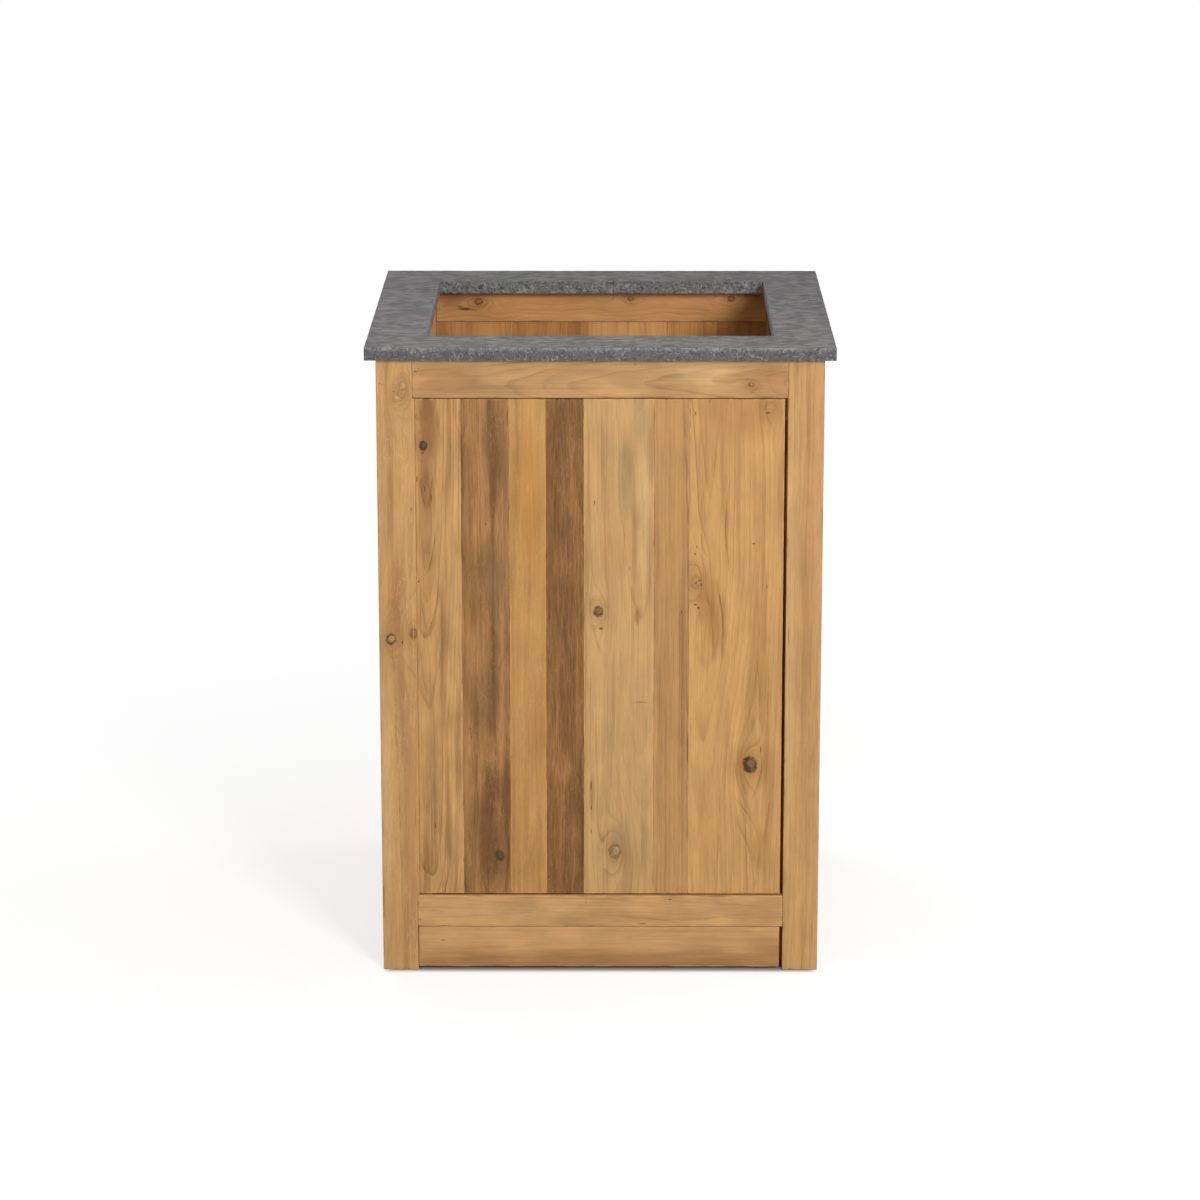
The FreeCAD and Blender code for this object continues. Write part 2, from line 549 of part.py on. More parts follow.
# Touch latch: a sprung plunger with a magnet, in a round housing that a holder carries on the right post.
HEAD_FRONT = LATCH_FRONT + MAGNET_THICKNESS
PLUNGER_FRONT = HEAD_FRONT + PLUNGER_HEAD_THICKNESS
HOLDER_FRONT = PLUNGER_FRONT + LATCH_TRAVEL + LATCH_STOP_PLAY
PLUNGER_BACK = PLUNGER_FRONT + PLUNGER_LENGTH
PLUNGER_BORE = PLUNGER_RADIUS + PIVOT_CLEARANCE
BORE_END = HOLDER_FRONT + HOUSING_LENGTH - HOUSING_END_WALL
SLEEVE_BORE = HOUSING_RADIUS + HOUSING_FIT


def latch_at(y):
    """The point of the latch axis at a depth."""
    return FreeCAD.Vector(LATCH_X, y, LATCH_Z)


pieces["latch_magnet"] = rod(MAGNET_RADIUS, latch_at(LATCH_FRONT), TO_BACK, MAGNET_THICKNESS)
plunger_head = rod(MAGNET_RADIUS, latch_at(HEAD_FRONT), TO_BACK, PLUNGER_HEAD_THICKNESS)
plunger_rod = rod(PLUNGER_RADIUS, latch_at(PLUNGER_FRONT), TO_BACK, PLUNGER_LENGTH)
pieces["latch_plunger"] = plunger_head.fuse(plunger_rod).removeSplitter()
housing = rod(HOUSING_RADIUS, latch_at(HOLDER_FRONT), TO_BACK, HOUSING_LENGTH)
pieces["latch_housing"] = housing.cut(
    rod(PLUNGER_BORE, latch_at(HOLDER_FRONT), TO_BACK, BORE_END - HOLDER_FRONT)
)
pad_x = (OPENING_RIGHT - HOLDER_PAD_THICKNESS, OPENING_RIGHT)
pad_y = (HOLDER_FRONT, FRONT_POST_BACK - HOLDER_EDGE_SETBACK)
pad_z = (LATCH_Z - HOLDER_PAD_HEIGHT / 2.0, LATCH_Z + HOLDER_PAD_HEIGHT / 2.0)
web_z = (LATCH_Z - HOLDER_WEB_THICKNESS / 2.0, LATCH_Z + HOLDER_WEB_THICKNESS / 2.0)
holder = block(pad_x, pad_y, pad_z)
holder = holder.fuse(block((LATCH_X, pad_x[1]), pad_y, web_z))
holder = holder.fuse(rod(SLEEVE_BORE + SLEEVE_WALL, latch_at(HOLDER_FRONT), TO_BACK, SLEEVE_LENGTH))
holder = holder.cut(rod(SLEEVE_BORE, latch_at(HOLDER_FRONT), TO_BACK, SLEEVE_LENGTH)).removeSplitter()
for side in (-1, 1):
    screw_z = LATCH_Z + side * HOLDER_SCREW_SPREAD / 2.0
    frame_hardware_screws.drive(pad_x[0], middle(pad_y), screw_z, TO_RIGHT)
pieces["latch_holder"] = cut_all(holder, frame_hardware_screws.holes)
strike = rod(STRIKE_RADIUS, latch_at(DOOR_BACK), TO_BACK, STRIKE_THICKNESS)
door_hardware_screws.drive(LATCH_X, DOOR_BACK + STRIKE_THICKNESS, LATCH_Z, TO_FRONT)
pieces["strike_plate"] = cut_all(strike, door_hardware_screws.holes)


def arc_from(start, bend, end):
    """An arc from start to end whose end tangents meet at bend."""
    half_chord = (end - start) * 0.5
    centre = start + half_chord
    rise = bend - centre
    slope = math.atan2(rise.Length, half_chord.Length)
    crown = centre + FreeCAD.Vector(rise).normalize() * (half_chord.Length * math.tan(slope / 2.0))
    return Part.Arc(start, crown, end).toShape()


def biarc(start, start_way, end, end_way):
    """Two arcs that join two points smoothly, each with a given tangent of unit length."""
    step = end - start
    ways = start_way + end_way
    spare = 4.0 - ways.dot(ways)
    reach = (math.sqrt(step.dot(ways) ** 2 + spare * step.dot(step)) - step.dot(ways)) / spare
    first_bend = start + start_way * reach
    second_bend = end - end_way * reach
    joint = (first_bend + second_bend) * 0.5
    return [arc_from(start, first_bend, joint), arc_from(joint, second_bend, end)]


def spring_point(radius, pitch, start, turn):
    """A point of the coil after some turns, and the way that the wire runs there."""
    angle = 2.0 * math.pi * turn
    point = FreeCAD.Vector(radius * math.cos(angle), pitch * turn, radius * math.sin(angle)) + start
    way = FreeCAD.Vector(-radius * math.sin(angle), pitch / (2.0 * math.pi), radius * math.cos(angle))
    return point, way.normalize()


spring_radius = PLUNGER_BORE - SPRING_BORE_PLAY - SPRING_WIRE_RADIUS
spring_seat = SPRING_WIRE_RADIUS + SPRING_SEAT_GAP
spring_pitch = (BORE_END - PLUNGER_BACK - 2.0 * spring_seat) / SPRING_TURNS
spring_start = latch_at(PLUNGER_BACK + spring_seat)
station_turns = [i / SPRING_STATIONS_PER_TURN for i in range(SPRING_STATIONS_PER_TURN * SPRING_TURNS + 1)]
stations = [spring_point(spring_radius, spring_pitch, spring_start, turn) for turn in station_turns]
wire_edges = []
for (start, start_way), (end, end_way) in zip(stations, stations[1:]):
    wire_edges += biarc(start, start_way, end, end_way)
section = Part.Wire(Part.makeCircle(SPRING_WIRE_RADIUS, stations[0][0], stations[0][1]))
pieces["latch_spring"] = Part.Wire(wire_edges).makePipeShell([section], True, False)
print("spring gap between turns", round(spring_pitch - 2.0 * SPRING_WIRE_RADIUS, 2), "mm")

# Screw holes: every piece that a screw goes through or into is bored for it.
for name in list(pieces):
    if name.startswith("door_board") or name.endswith("door_batten"):
        pieces[name] = cut_all(pieces[name], door_housings + door_screws.holes + door_hardware_screws.holes)
for name in ("front_top_rail", "front_bottom_rail"):
    pieces[name] = cut_all(pieces[name], frame_housings)
for name in [*POSTS, *RAILS_ALONG_X, *RAILS_ALONG_Y]:
    pieces[name] = cut_all(pieces[name], carcass_screws.holes + frame_hardware_screws.holes)
for name in list(pieces):
    if name.startswith(("floor_board", "toe_", "door_stop")) or "cleat" in name:
        pieces[name] = cut_all(pieces[name], carcass_screws.holes)
for name, plate in frame_plates.items():
    pieces[name] = cut_all(plate, frame_hardware_screws.holes)
for name, plate in door_plates.items():
    pieces[name] = cut_all(plate, door_hardware_screws.holes)
pieces["carcass_screws"] = Part.makeCompound(carcass_screws.screws)
pieces["door_screws"] = Part.makeCompound(door_screws.screws)
pieces["frame_hardware_screws"] = Part.makeCompound(frame_hardware_screws.screws)
pieces["door_hardware_screws"] = Part.makeCompound(door_hardware_screws.screws)

os.makedirs("parts", exist_ok=True)
for name, shape in pieces.items():
    shape.exportStep(f"parts/{name}.step")
print(len(pieces), "pieces")
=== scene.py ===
import math
import bpy
import numpy as np
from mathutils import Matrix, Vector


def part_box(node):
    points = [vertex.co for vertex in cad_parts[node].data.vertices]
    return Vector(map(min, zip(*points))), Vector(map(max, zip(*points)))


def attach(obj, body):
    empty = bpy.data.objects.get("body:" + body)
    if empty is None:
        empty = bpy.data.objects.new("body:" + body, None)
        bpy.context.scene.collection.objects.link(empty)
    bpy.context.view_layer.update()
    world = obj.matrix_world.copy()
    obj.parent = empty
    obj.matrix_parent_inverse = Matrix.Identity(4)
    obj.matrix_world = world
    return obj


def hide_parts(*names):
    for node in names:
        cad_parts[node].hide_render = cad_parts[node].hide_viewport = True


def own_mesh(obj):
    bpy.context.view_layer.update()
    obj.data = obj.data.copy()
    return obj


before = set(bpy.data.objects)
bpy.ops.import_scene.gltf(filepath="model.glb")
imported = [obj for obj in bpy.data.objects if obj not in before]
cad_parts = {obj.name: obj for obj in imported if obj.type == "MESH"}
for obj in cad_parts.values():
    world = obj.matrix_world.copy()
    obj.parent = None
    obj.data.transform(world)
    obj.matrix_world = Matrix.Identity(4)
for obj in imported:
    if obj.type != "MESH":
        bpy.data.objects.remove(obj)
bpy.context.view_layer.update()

# Studio: a plain pale floor that runs out to white and carries a painted shadow under the cabinet, soft
# light from the upper right and from in front, and a camera above worktop height that looks down on the
# cabinet, square to its door.
scene = bpy.context.scene
scene.view_settings.view_transform = "Standard"

CAMERA_PLACE = (0.0195, -5.81, 1.9495)
CAMERA_TURN = (math.pi / 2 - 0.2499, 0.0, 0.0036)
CAMERA_LENS = 123.15
CAMERA_SENSOR = 36.0
camera_data = bpy.data.cameras.new("camera")
camera_data.sensor_width = CAMERA_SENSOR
camera_data.lens = CAMERA_LENS
camera = bpy.data.objects.new("camera", camera_data)
camera.location = CAMERA_PLACE
camera.rotation_euler = CAMERA_TURN
scene.collection.objects.link(camera)
scene.camera = camera


def put(tree, kind, links=None, **settings):
    """Adds a node. The settings are its properties, and links gives its inputs: each a value or a socket."""
    item = tree.nodes.new(kind)
    for key, value in settings.items():
        setattr(item, key, value)
    for key, value in (links or {}).items():
        if isinstance(value, bpy.types.NodeSocket):
            tree.links.new(value, item.inputs[key])
        else:
            item.inputs[key].default_value = value
    return item


def calc(tree, operation, *values):
    """The result of one Math node."""
    return put(tree, "ShaderNodeMath", dict(enumerate(values)), operation=operation).outputs[0]


def times(tree, first, second):
    """Two values multiplied."""
    return calc(tree, "MULTIPLY", first, second)


def ramp(tree, value, start, end, low=0.0, high=1.0):
    """A value eased from low to high while it goes from start to end."""
    links = {0: value, 1: start, 2: end, 3: low, 4: high}
    return put(tree, "ShaderNodeMapRange", links, interpolation_type="SMOOTHSTEP").outputs[0]


def seen(tree):
    """1 where the camera, a mirror or a glass looks at the background, and 0 for light that it gives."""
    path = put(tree, "ShaderNodeLightPath").outputs
    straight = calc(tree, "MAXIMUM", path["Is Camera Ray"], path["Is Glossy Ray"])
    return calc(tree, "MAXIMUM", straight, path["Is Transmission Ray"])


def blank_finish(name):
    """A new material and its empty node tree."""
    paint = bpy.data.materials.new(name)
    paint.use_nodes = True
    paint.node_tree.nodes.clear()
    return paint, paint.node_tree


def object_place(tree):
    """Each point's place in the object's own axes."""
    return put(tree, "ShaderNodeTexCoord").outputs["Object"]


def grid_faces(rows, columns):
    """Quads between rings of points, row by row. The last column joins the first."""
    i = np.arange(rows - 1)[:, None]
    j = np.arange(columns)[None, :]
    k = (j + 1) % columns
    corners = [i * columns + j, i * columns + k, (i + 1) * columns + k, (i + 1) * columns + j]
    return np.stack(corners, -1).reshape(-1, 4).tolist()


SHARP_EDGE = math.radians(40.0)


def make_piece(name, points, faces, **masks):
    """A smooth mesh object from points and faces, with its masks as point attributes."""
    mesh = bpy.data.meshes.new(name)
    mesh.from_pydata(points.reshape(-1, 3).tolist(), [], faces)
    mesh.shade_smooth()
    mesh.set_sharp_from_angle(angle=SHARP_EDGE)
    for label, values in masks.items():
        layer = mesh.attributes.new(label, "FLOAT", "POINT")
        layer.data.foreach_set("value", values.ravel().astype(np.float32))
    piece = bpy.data.objects.new(name, mesh)
    scene.collection.objects.link(piece)
    return piece


def floor_disc(reach, rings, spokes):
    """A flat disc: radius times the cosine and sine of the angle, at height 0."""
    radius = np.linspace(0.02, 1.0, rings)[:, None] ** 2 * reach
    angle = np.linspace(0.0, 2.0 * np.pi, spokes, endpoint=False)[None, :]
    points = np.stack([radius * np.cos(angle), radius * np.sin(angle), 0.0 * radius * angle], -1)
    faces = grid_faces(rings, spokes)
    return make_piece("floor", points, faces + [list(range(spokes))])


FLOOR_REACH = 14.0
FLOOR_RINGS = 24
FLOOR_SPOKES = 48
FLOOR_COLOUR = (0.42, 0.42, 0.42, 1.0)
FLOOR_FADE = (0.7, 1.9)
FLOOR_LIFT = 0.70
FLOOR_PAINTED_SHADOW_EDGE = (0.29, 0.31)
floor = floor_disc(FLOOR_REACH, FLOOR_RINGS, FLOOR_SPOKES)
floor_paint, tree = blank_finish("floor_paint")
place = object_place(tree)
away = put(tree, "ShaderNodeVectorMath", {0: place}, operation="LENGTH").outputs["Value"]
fade = times(tree, ramp(tree, away, *FLOOR_FADE), seen(tree))
matt = put(tree, "ShaderNodeBsdfDiffuse", {"Color": FLOOR_COLOUR}).outputs[0]
# Painted shadow: the floor's lift fades out over the cabinet's footprint, so the floor under it shows darker.
x, y, _ = put(tree, "ShaderNodeSeparateXYZ", {0: place}).outputs
reach = calc(tree, "MAXIMUM", calc(tree, "ABSOLUTE", x), calc(tree, "ABSOLUTE", y))
lift_outside_painted_shadow = times(tree, ramp(tree, reach, *FLOOR_PAINTED_SHADOW_EDGE), FLOOR_LIFT)
lift = put(tree, "ShaderNodeEmission", {"Strength": times(tree, seen(tree), lift_outside_painted_shadow)}).outputs[0]
near = put(tree, "ShaderNodeAddShader", {0: matt, 1: lift}).outputs[0]
white = put(tree, "ShaderNodeEmission", {"Strength": 1.0}).outputs[0]
mixed = put(tree, "ShaderNodeMixShader", {0: fade, 1: near, 2: white}).outputs[0]
put(tree, "ShaderNodeOutputMaterial", {"Surface": mixed})
floor.data.materials.append(floor_paint)

SKY_LIGHT = 0.28
world = bpy.data.worlds.new("studio")
world.use_nodes = True
scene.world = world
tree = world.node_tree
tree.nodes.clear()
strength = calc(tree, "MAXIMUM", seen(tree), SKY_LIGHT)
links = {"Color": (1.0, 1.0, 1.0, 1.0), "Strength": strength}
sky = put(tree, "ShaderNodeBackground", links).outputs[0]
put(tree, "ShaderNodeOutputWorld", {"Surface": sky})

LAMPS = {
    "key_lamp": ((1.15, -3.4, 1.85), (0.0, 0.0, 0.60), 0.75, 84.0),
    "fill_lamp": ((-2.2, -3.0, 1.3), (0.0, 0.0, 0.45), 2.0, 20.0),
    "top_lamp": ((0.5, 0.3, 3.2), (0.0, 0.0, 0.9), 1.4, 9.0),
    "back_lamp": ((-1.9, 3.0, 1.9), (0.0, 0.0, 0.5), 2.2, 38.0),
    "side_lamp": ((2.7, 0.7, 1.3), (0.0, 0.0, 0.5), 1.8, 16.0),
}
for name, (place, aim, size, power) in LAMPS.items():
    lamp_data = bpy.data.lights.new(name, "AREA")
    lamp_data.size = size
    lamp_data.energy = power
    lamp = bpy.data.objects.new(name, lamp_data)
    reach = np.array(aim) - np.array(place)
    lamp.location = place
    lamp.rotation_euler = (
        math.acos(-reach[2] / np.linalg.norm(reach)),
        0.0,
        math.atan2(reach[1], reach[0]) - math.pi / 2,
    )
    scene.collection.objects.link(lamp)

# Posts: four squared timbers of old pine that stand on the floor. They are planed, their arrises are
# worn round and chipped, their feet are rubbed, and grooves hold the ends of the panel boards.
X, Y, Z = range(3)
WAVES = 5
DIP_WAVES = (0.09, 0.5)
ARRIS_WAVES = (0.02, 0.3)
STATION_STEP = 0.008
FACE_STEP = 0.012
END_RUN = 0.003
CAP_INSET = 0.001
NOTCH_STEP = 1e-5
GROOVE_STEP = 2e-4
GROOVE_SKIN = 0.00002
CHIP_LENGTH = 0.006
LEAST_RADIUS = 0.00006
ARRIS_MARGIN = 0.0015


def slow_waves(rng, place, shortest, longest):
    """Five sine waves of random length and phase added up, between 0 and 1."""
    lengths = rng.uniform(shortest, longest, WAVES)
    phases = rng.uniform(0.0, 2.0 * np.pi, WAVES)
    waves = np.sin(place[:, None] * 2.0 * np.pi / lengths + phases)
    return 0.5 + waves.sum(1) / (2.0 * WAVES)


def tube_faces(rows, columns):
    """The faces of a tube whose rows are closed rings of points, with a cap at each end."""
    last = (rows - 1) * columns
    caps = [list(range(columns))[::-1], list(range(last, last + columns))]
    return grid_faces(rows, columns) + caps


def timber(name, low, high, along, arris, seed, end=0.0008, grooves=(), notches=(), rough=0.00022):
    """A planed timber between two corners, as a section carried along its length.

    Each section is a rectangle with an arc at each corner. Its four faces are pulled in by slow waves, the
    radius of each arc wavers along the length and grows at a few chips, and near both ends the section
    shrinks along a quarter circle. A groove sinks part of a face, and a notch pulls a whole face in.
    Face 0 is at the low end of the second axis across, and faces 1, 2 and 3 follow round the section."""
    rng = np.random.default_rng(seed)
    low = np.array(low)
    high = np.array(high)
    across, deep = (along + 1) % 3, (along + 2) % 3
    foot, head = low[along], high[along]
    turn = np.linspace(0.0, np.pi / 2, 4)
    stations = max(6, int((head - foot) / STATION_STEP))
    body = np.linspace(foot + end + END_RUN, head - end - END_RUN, stations)
    ends = [(edge, NOTCH_STEP) for notch in notches for edge in notch[2:]]
    ends += [(edge, GROOVE_STEP) for groove in grooves for edge in groove[4:]]
    steps = [edge + side for edge, step in ends for side in (-step, step)]
    body = np.unique(np.concatenate([body, [s for s in steps if foot + end < s < head - end]]))
    rise = end * (1.0 - np.cos(turn))
    shrink = end * (1.0 - np.sin(turn))
    place = np.concatenate([[foot], foot + rise, body, head - rise[::-1], [head]])
    tip = [end + CAP_INSET]
    inset = np.concatenate([tip, shrink, np.zeros(len(body)), shrink[::-1], tip])
    at_end = np.concatenate([[0.0], np.ones(4), np.zeros(len(body)), np.ones(4), [0.0]])

    centre = (low + high) / 2.0
    half_across, half_deep = (high - low)[across] / 2.0, (high - low)[deep] / 2.0
    reach = [half_deep, half_across, half_deep, half_across]
    rough = np.broadcast_to(rough, 4)
    extent = [r - inset - dip * slow_waves(rng, place, *DIP_WAVES) for r, dip in zip(reach, rough)]
    for side, depth, start, stop in notches:
        extent[side] = extent[side] - depth * ((place > start) & (place < stop))
    arris = np.broadcast_to(arris, 4)
    radius = []
    for corner in range(4):
        soft = arris[corner] * (0.75 + 0.5 * slow_waves(rng, place, *ARRIS_WAVES))
        for chip in rng.uniform(foot, head, rng.integers(2, 6)):
            bite = np.exp(-(((place - chip) / CHIP_LENGTH) ** 2))
            soft = soft + arris[corner] * rng.uniform(0.3, 1.3) * bite
        radius.append(np.maximum(soft - inset, LEAST_RADIUS))
    margin = max(np.max(radius), end + CAP_INSET) + ARRIS_MARGIN

    out = np.array([(0.0, -1.0), (1.0, 0.0), (0.0, 1.0), (-1.0, 0.0)])
    arc = np.linspace(0.0, np.pi / 2, 5)
    loop = []
    worn = []
    for side in range(4):
        ahead = (side + 1) % 4
        start, stop = margin - extent[side - 1], extent[ahead] - margin
        spans = [(0.0 * start, start, stop)]
        wanted = [g for g in grooves if g[0] == side]
        for _, middle, width, depth, first, last in wanted:
            middle = middle * out[ahead].sum()
            sink = np.where((place > first) & (place < last), depth, GROOVE_SKIN)
            flat = 0.0 * sink
            near, far = middle - width / 2.0 + flat, middle + width / 2.0 + flat
            spans = [(flat, start, near), (sink, near, far), (flat, far, stop)]
        for sink, first, last in spans:
            count = max(2, int(np.ceil(np.max(last - first) / FACE_STEP)) + 1)
            share = np.linspace(0.0, 1.0, count)[None, :, None]
            run = first[:, None, None] + share * (last - first)[:, None, None]
            loop.append((extent[side] - sink)[:, None, None] * out[side] + run * out[ahead])
            worn.append(np.zeros((len(place), count)))
        r = radius[side][:, None, None]
        hub = (extent[side][:, None, None] - r) * out[side]
        hub = hub + (extent[ahead][:, None, None] - r) * out[ahead]
        sweep = np.cos(arc)[:, None] * out[side] + np.sin(arc)[:, None] * out[ahead]
        loop.append(hub + r * sweep[None])
        worn.append(np.ones((len(place), len(arc))))
    loop = np.concatenate(loop, 1)
    worn = np.maximum(np.concatenate(worn, 1), at_end[:, None])
    points = np.zeros(loop.shape[:2] + (3,))
    points[..., along] = place[:, None]
    points[..., across] = centre[across] + loop[..., 0]
    points[..., deep] = centre[deep] + loop[..., 1]
    return make_piece(name, points, tube_faces(*loop.shape[:2]), arris=worn)


def tone(red, green, blue):
    """A colour written in 8-bit screen values, as the linear values that a shader takes."""
    share = np.array([red, green, blue]) / 255.0
    linear = np.where(share <= 0.04045, share / 12.92, ((share + 0.055) / 1.055) ** 2.4)
    return (*linear.tolist(), 1.0)


def effect(name, inputs, outputs):
    """A new node group with named sockets. Returns its tree, what it is given and what it gives."""
    tree = bpy.data.node_groups.new(name, "ShaderNodeTree")
    kinds = {float: "NodeSocketFloat", tuple: "NodeSocketVector"}
    for label, value in inputs.items():
        socket = tree.interface.new_socket(label, in_out="INPUT", socket_type=kinds[type(value)])
        socket.default_value = value
    for label, kind in outputs.items():
        tree.interface.new_socket(label, in_out="OUTPUT", socket_type=kinds[kind])
    return tree, put(tree, "NodeGroupInput").outputs, put(tree, "NodeGroupOutput").inputs


def parts_of(tree, vector):
    """The three numbers of a vector."""
    return put(tree, "ShaderNodeSeparateXYZ", {0: vector}).outputs


def joined(tree, x, y, z):
    """A vector of three numbers."""
    return put(tree, "ShaderNodeCombineXYZ", {0: x, 1: y, 2: z}).outputs[0]


def vector_calc(tree, operation, *values):
    """The result of one Vector Math node."""
    return put(tree, "ShaderNodeVectorMath", dict(enumerate(values)), operation=operation).outputs[0]


def scaled_vector(tree, vector, share):
    """A vector or a colour times a number."""
    return put(tree, "ShaderNodeVectorMath", {0: vector, 3: share}, operation="SCALE").outputs[0]


def plus(tree, first, second):
    """Two values added."""
    return calc(tree, "ADD", first, second)


def minus(tree, first, second):
    """The first value less the second."""
    return calc(tree, "SUBTRACT", first, second)


def centred(tree, value):
    """A value between 0 and 1, moved to lie about 0."""
    return minus(tree, value, 0.5)


def ratio(tree, first, second):
    """The first value divided by the second."""
    return calc(tree, "DIVIDE", first, second)


def weighted(tree, value, weight, base):
    """A value times its weight, on top of a base."""
    return calc(tree, "MULTIPLY_ADD", value, weight, base)


def distance(tree, first, second):
    """The length of the two sides of a right angle taken together."""
    return calc(tree, "SQRT", plus(tree, times(tree, first, first), times(tree, second, second)))


def noise(tree, vector, scale, detail, twist=0.0):
    """The value and the colour of one Noise node."""
    links = {"Vector": vector, "Scale": scale, "Detail": detail, "Distortion": twist}
    return put(tree, "ShaderNodeTexNoise", links).outputs


def speckle(tree, vector, stretch, seed, detail=2.0):
    """Noise between 0 and 1 on a stretched copy of the vector."""
    shifted = vector_calc(tree, "MULTIPLY_ADD", vector, stretch, joined(tree, seed, seed, seed))
    return noise(tree, shifted, 1.0, detail)[0]


# Grain round a knot: the lines of the wood pass a knot as water passes a post.
knot_bend, given, gives = effect(
    "knot_bend",
    {"Grain": (0.0, 0.0, 0.0), "Place": (0.0, 0.0, 0.0), "Radius": 0.005, "Bend": 2.0, "Reach": 2.0},
    {"Grain": tuple, "Core": float, "Rim": float, "Halo": float, "Heart": float, "Swell": float},
)
tree = knot_bend
away = vector_calc(tree, "SUBTRACT", given["Grain"], given["Place"])
side, run, deep = parts_of(tree, away)
long_run = ratio(tree, run, given["Reach"])
gap = plus(tree, times(tree, side, side), times(tree, long_run, long_run))
size = calc(tree, "POWER", times(tree, given["Radius"], given["Bend"]), 2.0)
push = ratio(tree, size, plus(tree, gap, size))
kept = times(tree, side, minus(tree, 1.0, times(tree, push, 0.92)))
home = parts_of(tree, given["Place"])
bent = joined(tree, plus(tree, kept, home[0]), plus(tree, run, home[1]), deep)
tree.links.new(bent, gives["Grain"])
tree.links.new(times(tree, push, given["Radius"]), gives["Swell"])
shrink = ratio(tree, 1.0, given["Radius"])
scaled = scaled_vector(tree, away, shrink)
apart = vector_calc(tree, "MULTIPLY_ADD", given["Place"], (70.0, 70.0, 70.0), scaled)
lumps = noise(tree, apart, 0.9, 2.0)[1]
lumps = vector_calc(tree, "SUBTRACT", lumps, (0.5, 0.5, 0.5))
shaken = vector_calc(tree, "MULTIPLY_ADD", lumps, (0.7, 0.7, 0.0), scaled)
u, v, _ = parts_of(tree, shaken)
v = ratio(tree, v, 1.2)
ring = distance(tree, u, v)
aside = minus(tree, u, 0.2)
above = plus(tree, v, -0.14)
inner = distance(tree, aside, above)
tree.links.new(ramp(tree, ring, 0.78, 1.05, 1.0, 0.0), gives["Core"])
rim = times(tree, ramp(tree, inner, 0.32, 0.78), ramp(tree, ring, 0.88, 1.28, 1.0, 0.0))
broken = noise(tree, apart, 1.3, 3.0)[0]
rim = times(tree, rim, ramp(tree, broken, 0.36, 0.56, 0.45, 1.0))
tree.links.new(rim, gives["Rim"])
tree.links.new(ramp(tree, ring, 0.9, 4.2, 1.0, 0.0), gives["Halo"])
turns = calc(tree, "SINE", times(tree, inner, 13.0))
tree.links.new(weighted(tree, turns, 0.3, 0.45), gives["Heart"])

# Growth rings: the distance from a pith line that slopes along the board, cut into years.
growth_rings, given, gives = effect(
    "growth_rings",
    {"Grain": (0.0, 0.0, 0.0), "Pith": (0.0, 0.0, 0.05), "Slope": 0.01, "Roll": 0.01, "Waver": 0.004,
     "Year width": 0.003, "Seed": 0.0, "Swell": 0.0},
    {"Late": float, "Year": float},
)
tree = growth_rings
side, run, deep = parts_of(tree, given["Grain"])
pith = parts_of(tree, given["Pith"])
swing = centred(tree, speckle(tree, given["Grain"], (9.0, 2.4, 9.0), given["Seed"]))
roll = centred(tree, speckle(tree, given["Grain"], (3.0, 5.0, 3.0), plus(tree, given["Seed"], 7.3)))
fine = centred(tree, speckle(tree, given["Grain"], (60.0, 9.0, 60.0), given["Seed"]))
over = weighted(tree, swing, given["Waver"], minus(tree, side, pith[0]))
fall = times(tree, minus(tree, run, pith[1]), given["Slope"])
under = plus(tree, minus(tree, deep, pith[2]), fall)
under = weighted(tree, roll, given["Roll"], under)
spread = distance(tree, over, under)
spread = plus(tree, weighted(tree, fine, 0.0026, spread), given["Swell"])
years = plus(tree, ratio(tree, spread, given["Year width"]), given["Seed"])
part = calc(tree, "FRACT", years)
shade = times(tree, ramp(tree, part, 0.1, 0.95), 0.38)
line = weighted(tree, ramp(tree, part, 0.70, 0.94), 0.62, shade)
tree.links.new(times(tree, line, ramp(tree, part, 0.95, 1.0, 1.0, 0.0)), gives["Late"])
whole = {"W": calc(tree, "FLOOR", years)}
pick = put(tree, "ShaderNodeTexWhiteNoise", whole, noise_dimensions="1D").outputs[0]
fading = speckle(tree, given["Grain"], (25.0, 4.0, 25.0), plus(tree, given["Seed"], 3.7))
fading = ramp(tree, fading, 0.3, 0.62)
tree.links.new(times(tree, times(tree, pick, pick), fading), gives["Year"])

# Fibre: fine hairs along the grain, broad streaks, and slow clouds of tone.
fibre, given, gives = effect(
    "fibre", {"Grain": (0.0, 0.0, 0.0), "Seed": 0.0},
    {"Hair": float, "Streak": float, "Cloud": float, "Thread": float, "Fleck": float, "Mottle": float}
)
tree = fibre
coarse = speckle(tree, given["Grain"], (380.0, 9.0, 380.0), given["Seed"], 3.0)
thin = speckle(tree, given["Grain"], (1300.0, 42.0, 1300.0), given["Seed"], 2.0)
tree.links.new(weighted(tree, coarse, 0.62, times(tree, thin, 0.38)), gives["Hair"])
tree.links.new(speckle(tree, given["Grain"], (75.0, 2.6, 75.0), given["Seed"], 3.0), gives["Streak"])
tree.links.new(speckle(tree, given["Grain"], (22.0, 7.0, 22.0), given["Seed"], 3.0), gives["Cloud"])
wave = centred(tree, speckle(tree, given["Grain"], (190.0, 1.7, 190.0), given["Seed"], 2.0))
thread = ramp(tree, calc(tree, "ABSOLUTE", wave), 0.0, 0.03, 1.0, 0.0)
bundle = speckle(tree, given["Grain"], (38.0, 3.0, 38.0), plus(tree, given["Seed"], 5.1))
bundle = ramp(tree, bundle, 0.42, 0.64)
tree.links.new(times(tree, thread, bundle), gives["Thread"])
tree.links.new(speckle(tree, given["Grain"], (420.0, 48.0, 420.0), given["Seed"], 2.0), gives["Fleck"])
mottle = speckle(tree, given["Grain"], (42.0, 15.0, 42.0), plus(tree, given["Seed"], 2.9), 3.0)
tree.links.new(mottle, gives["Mottle"])

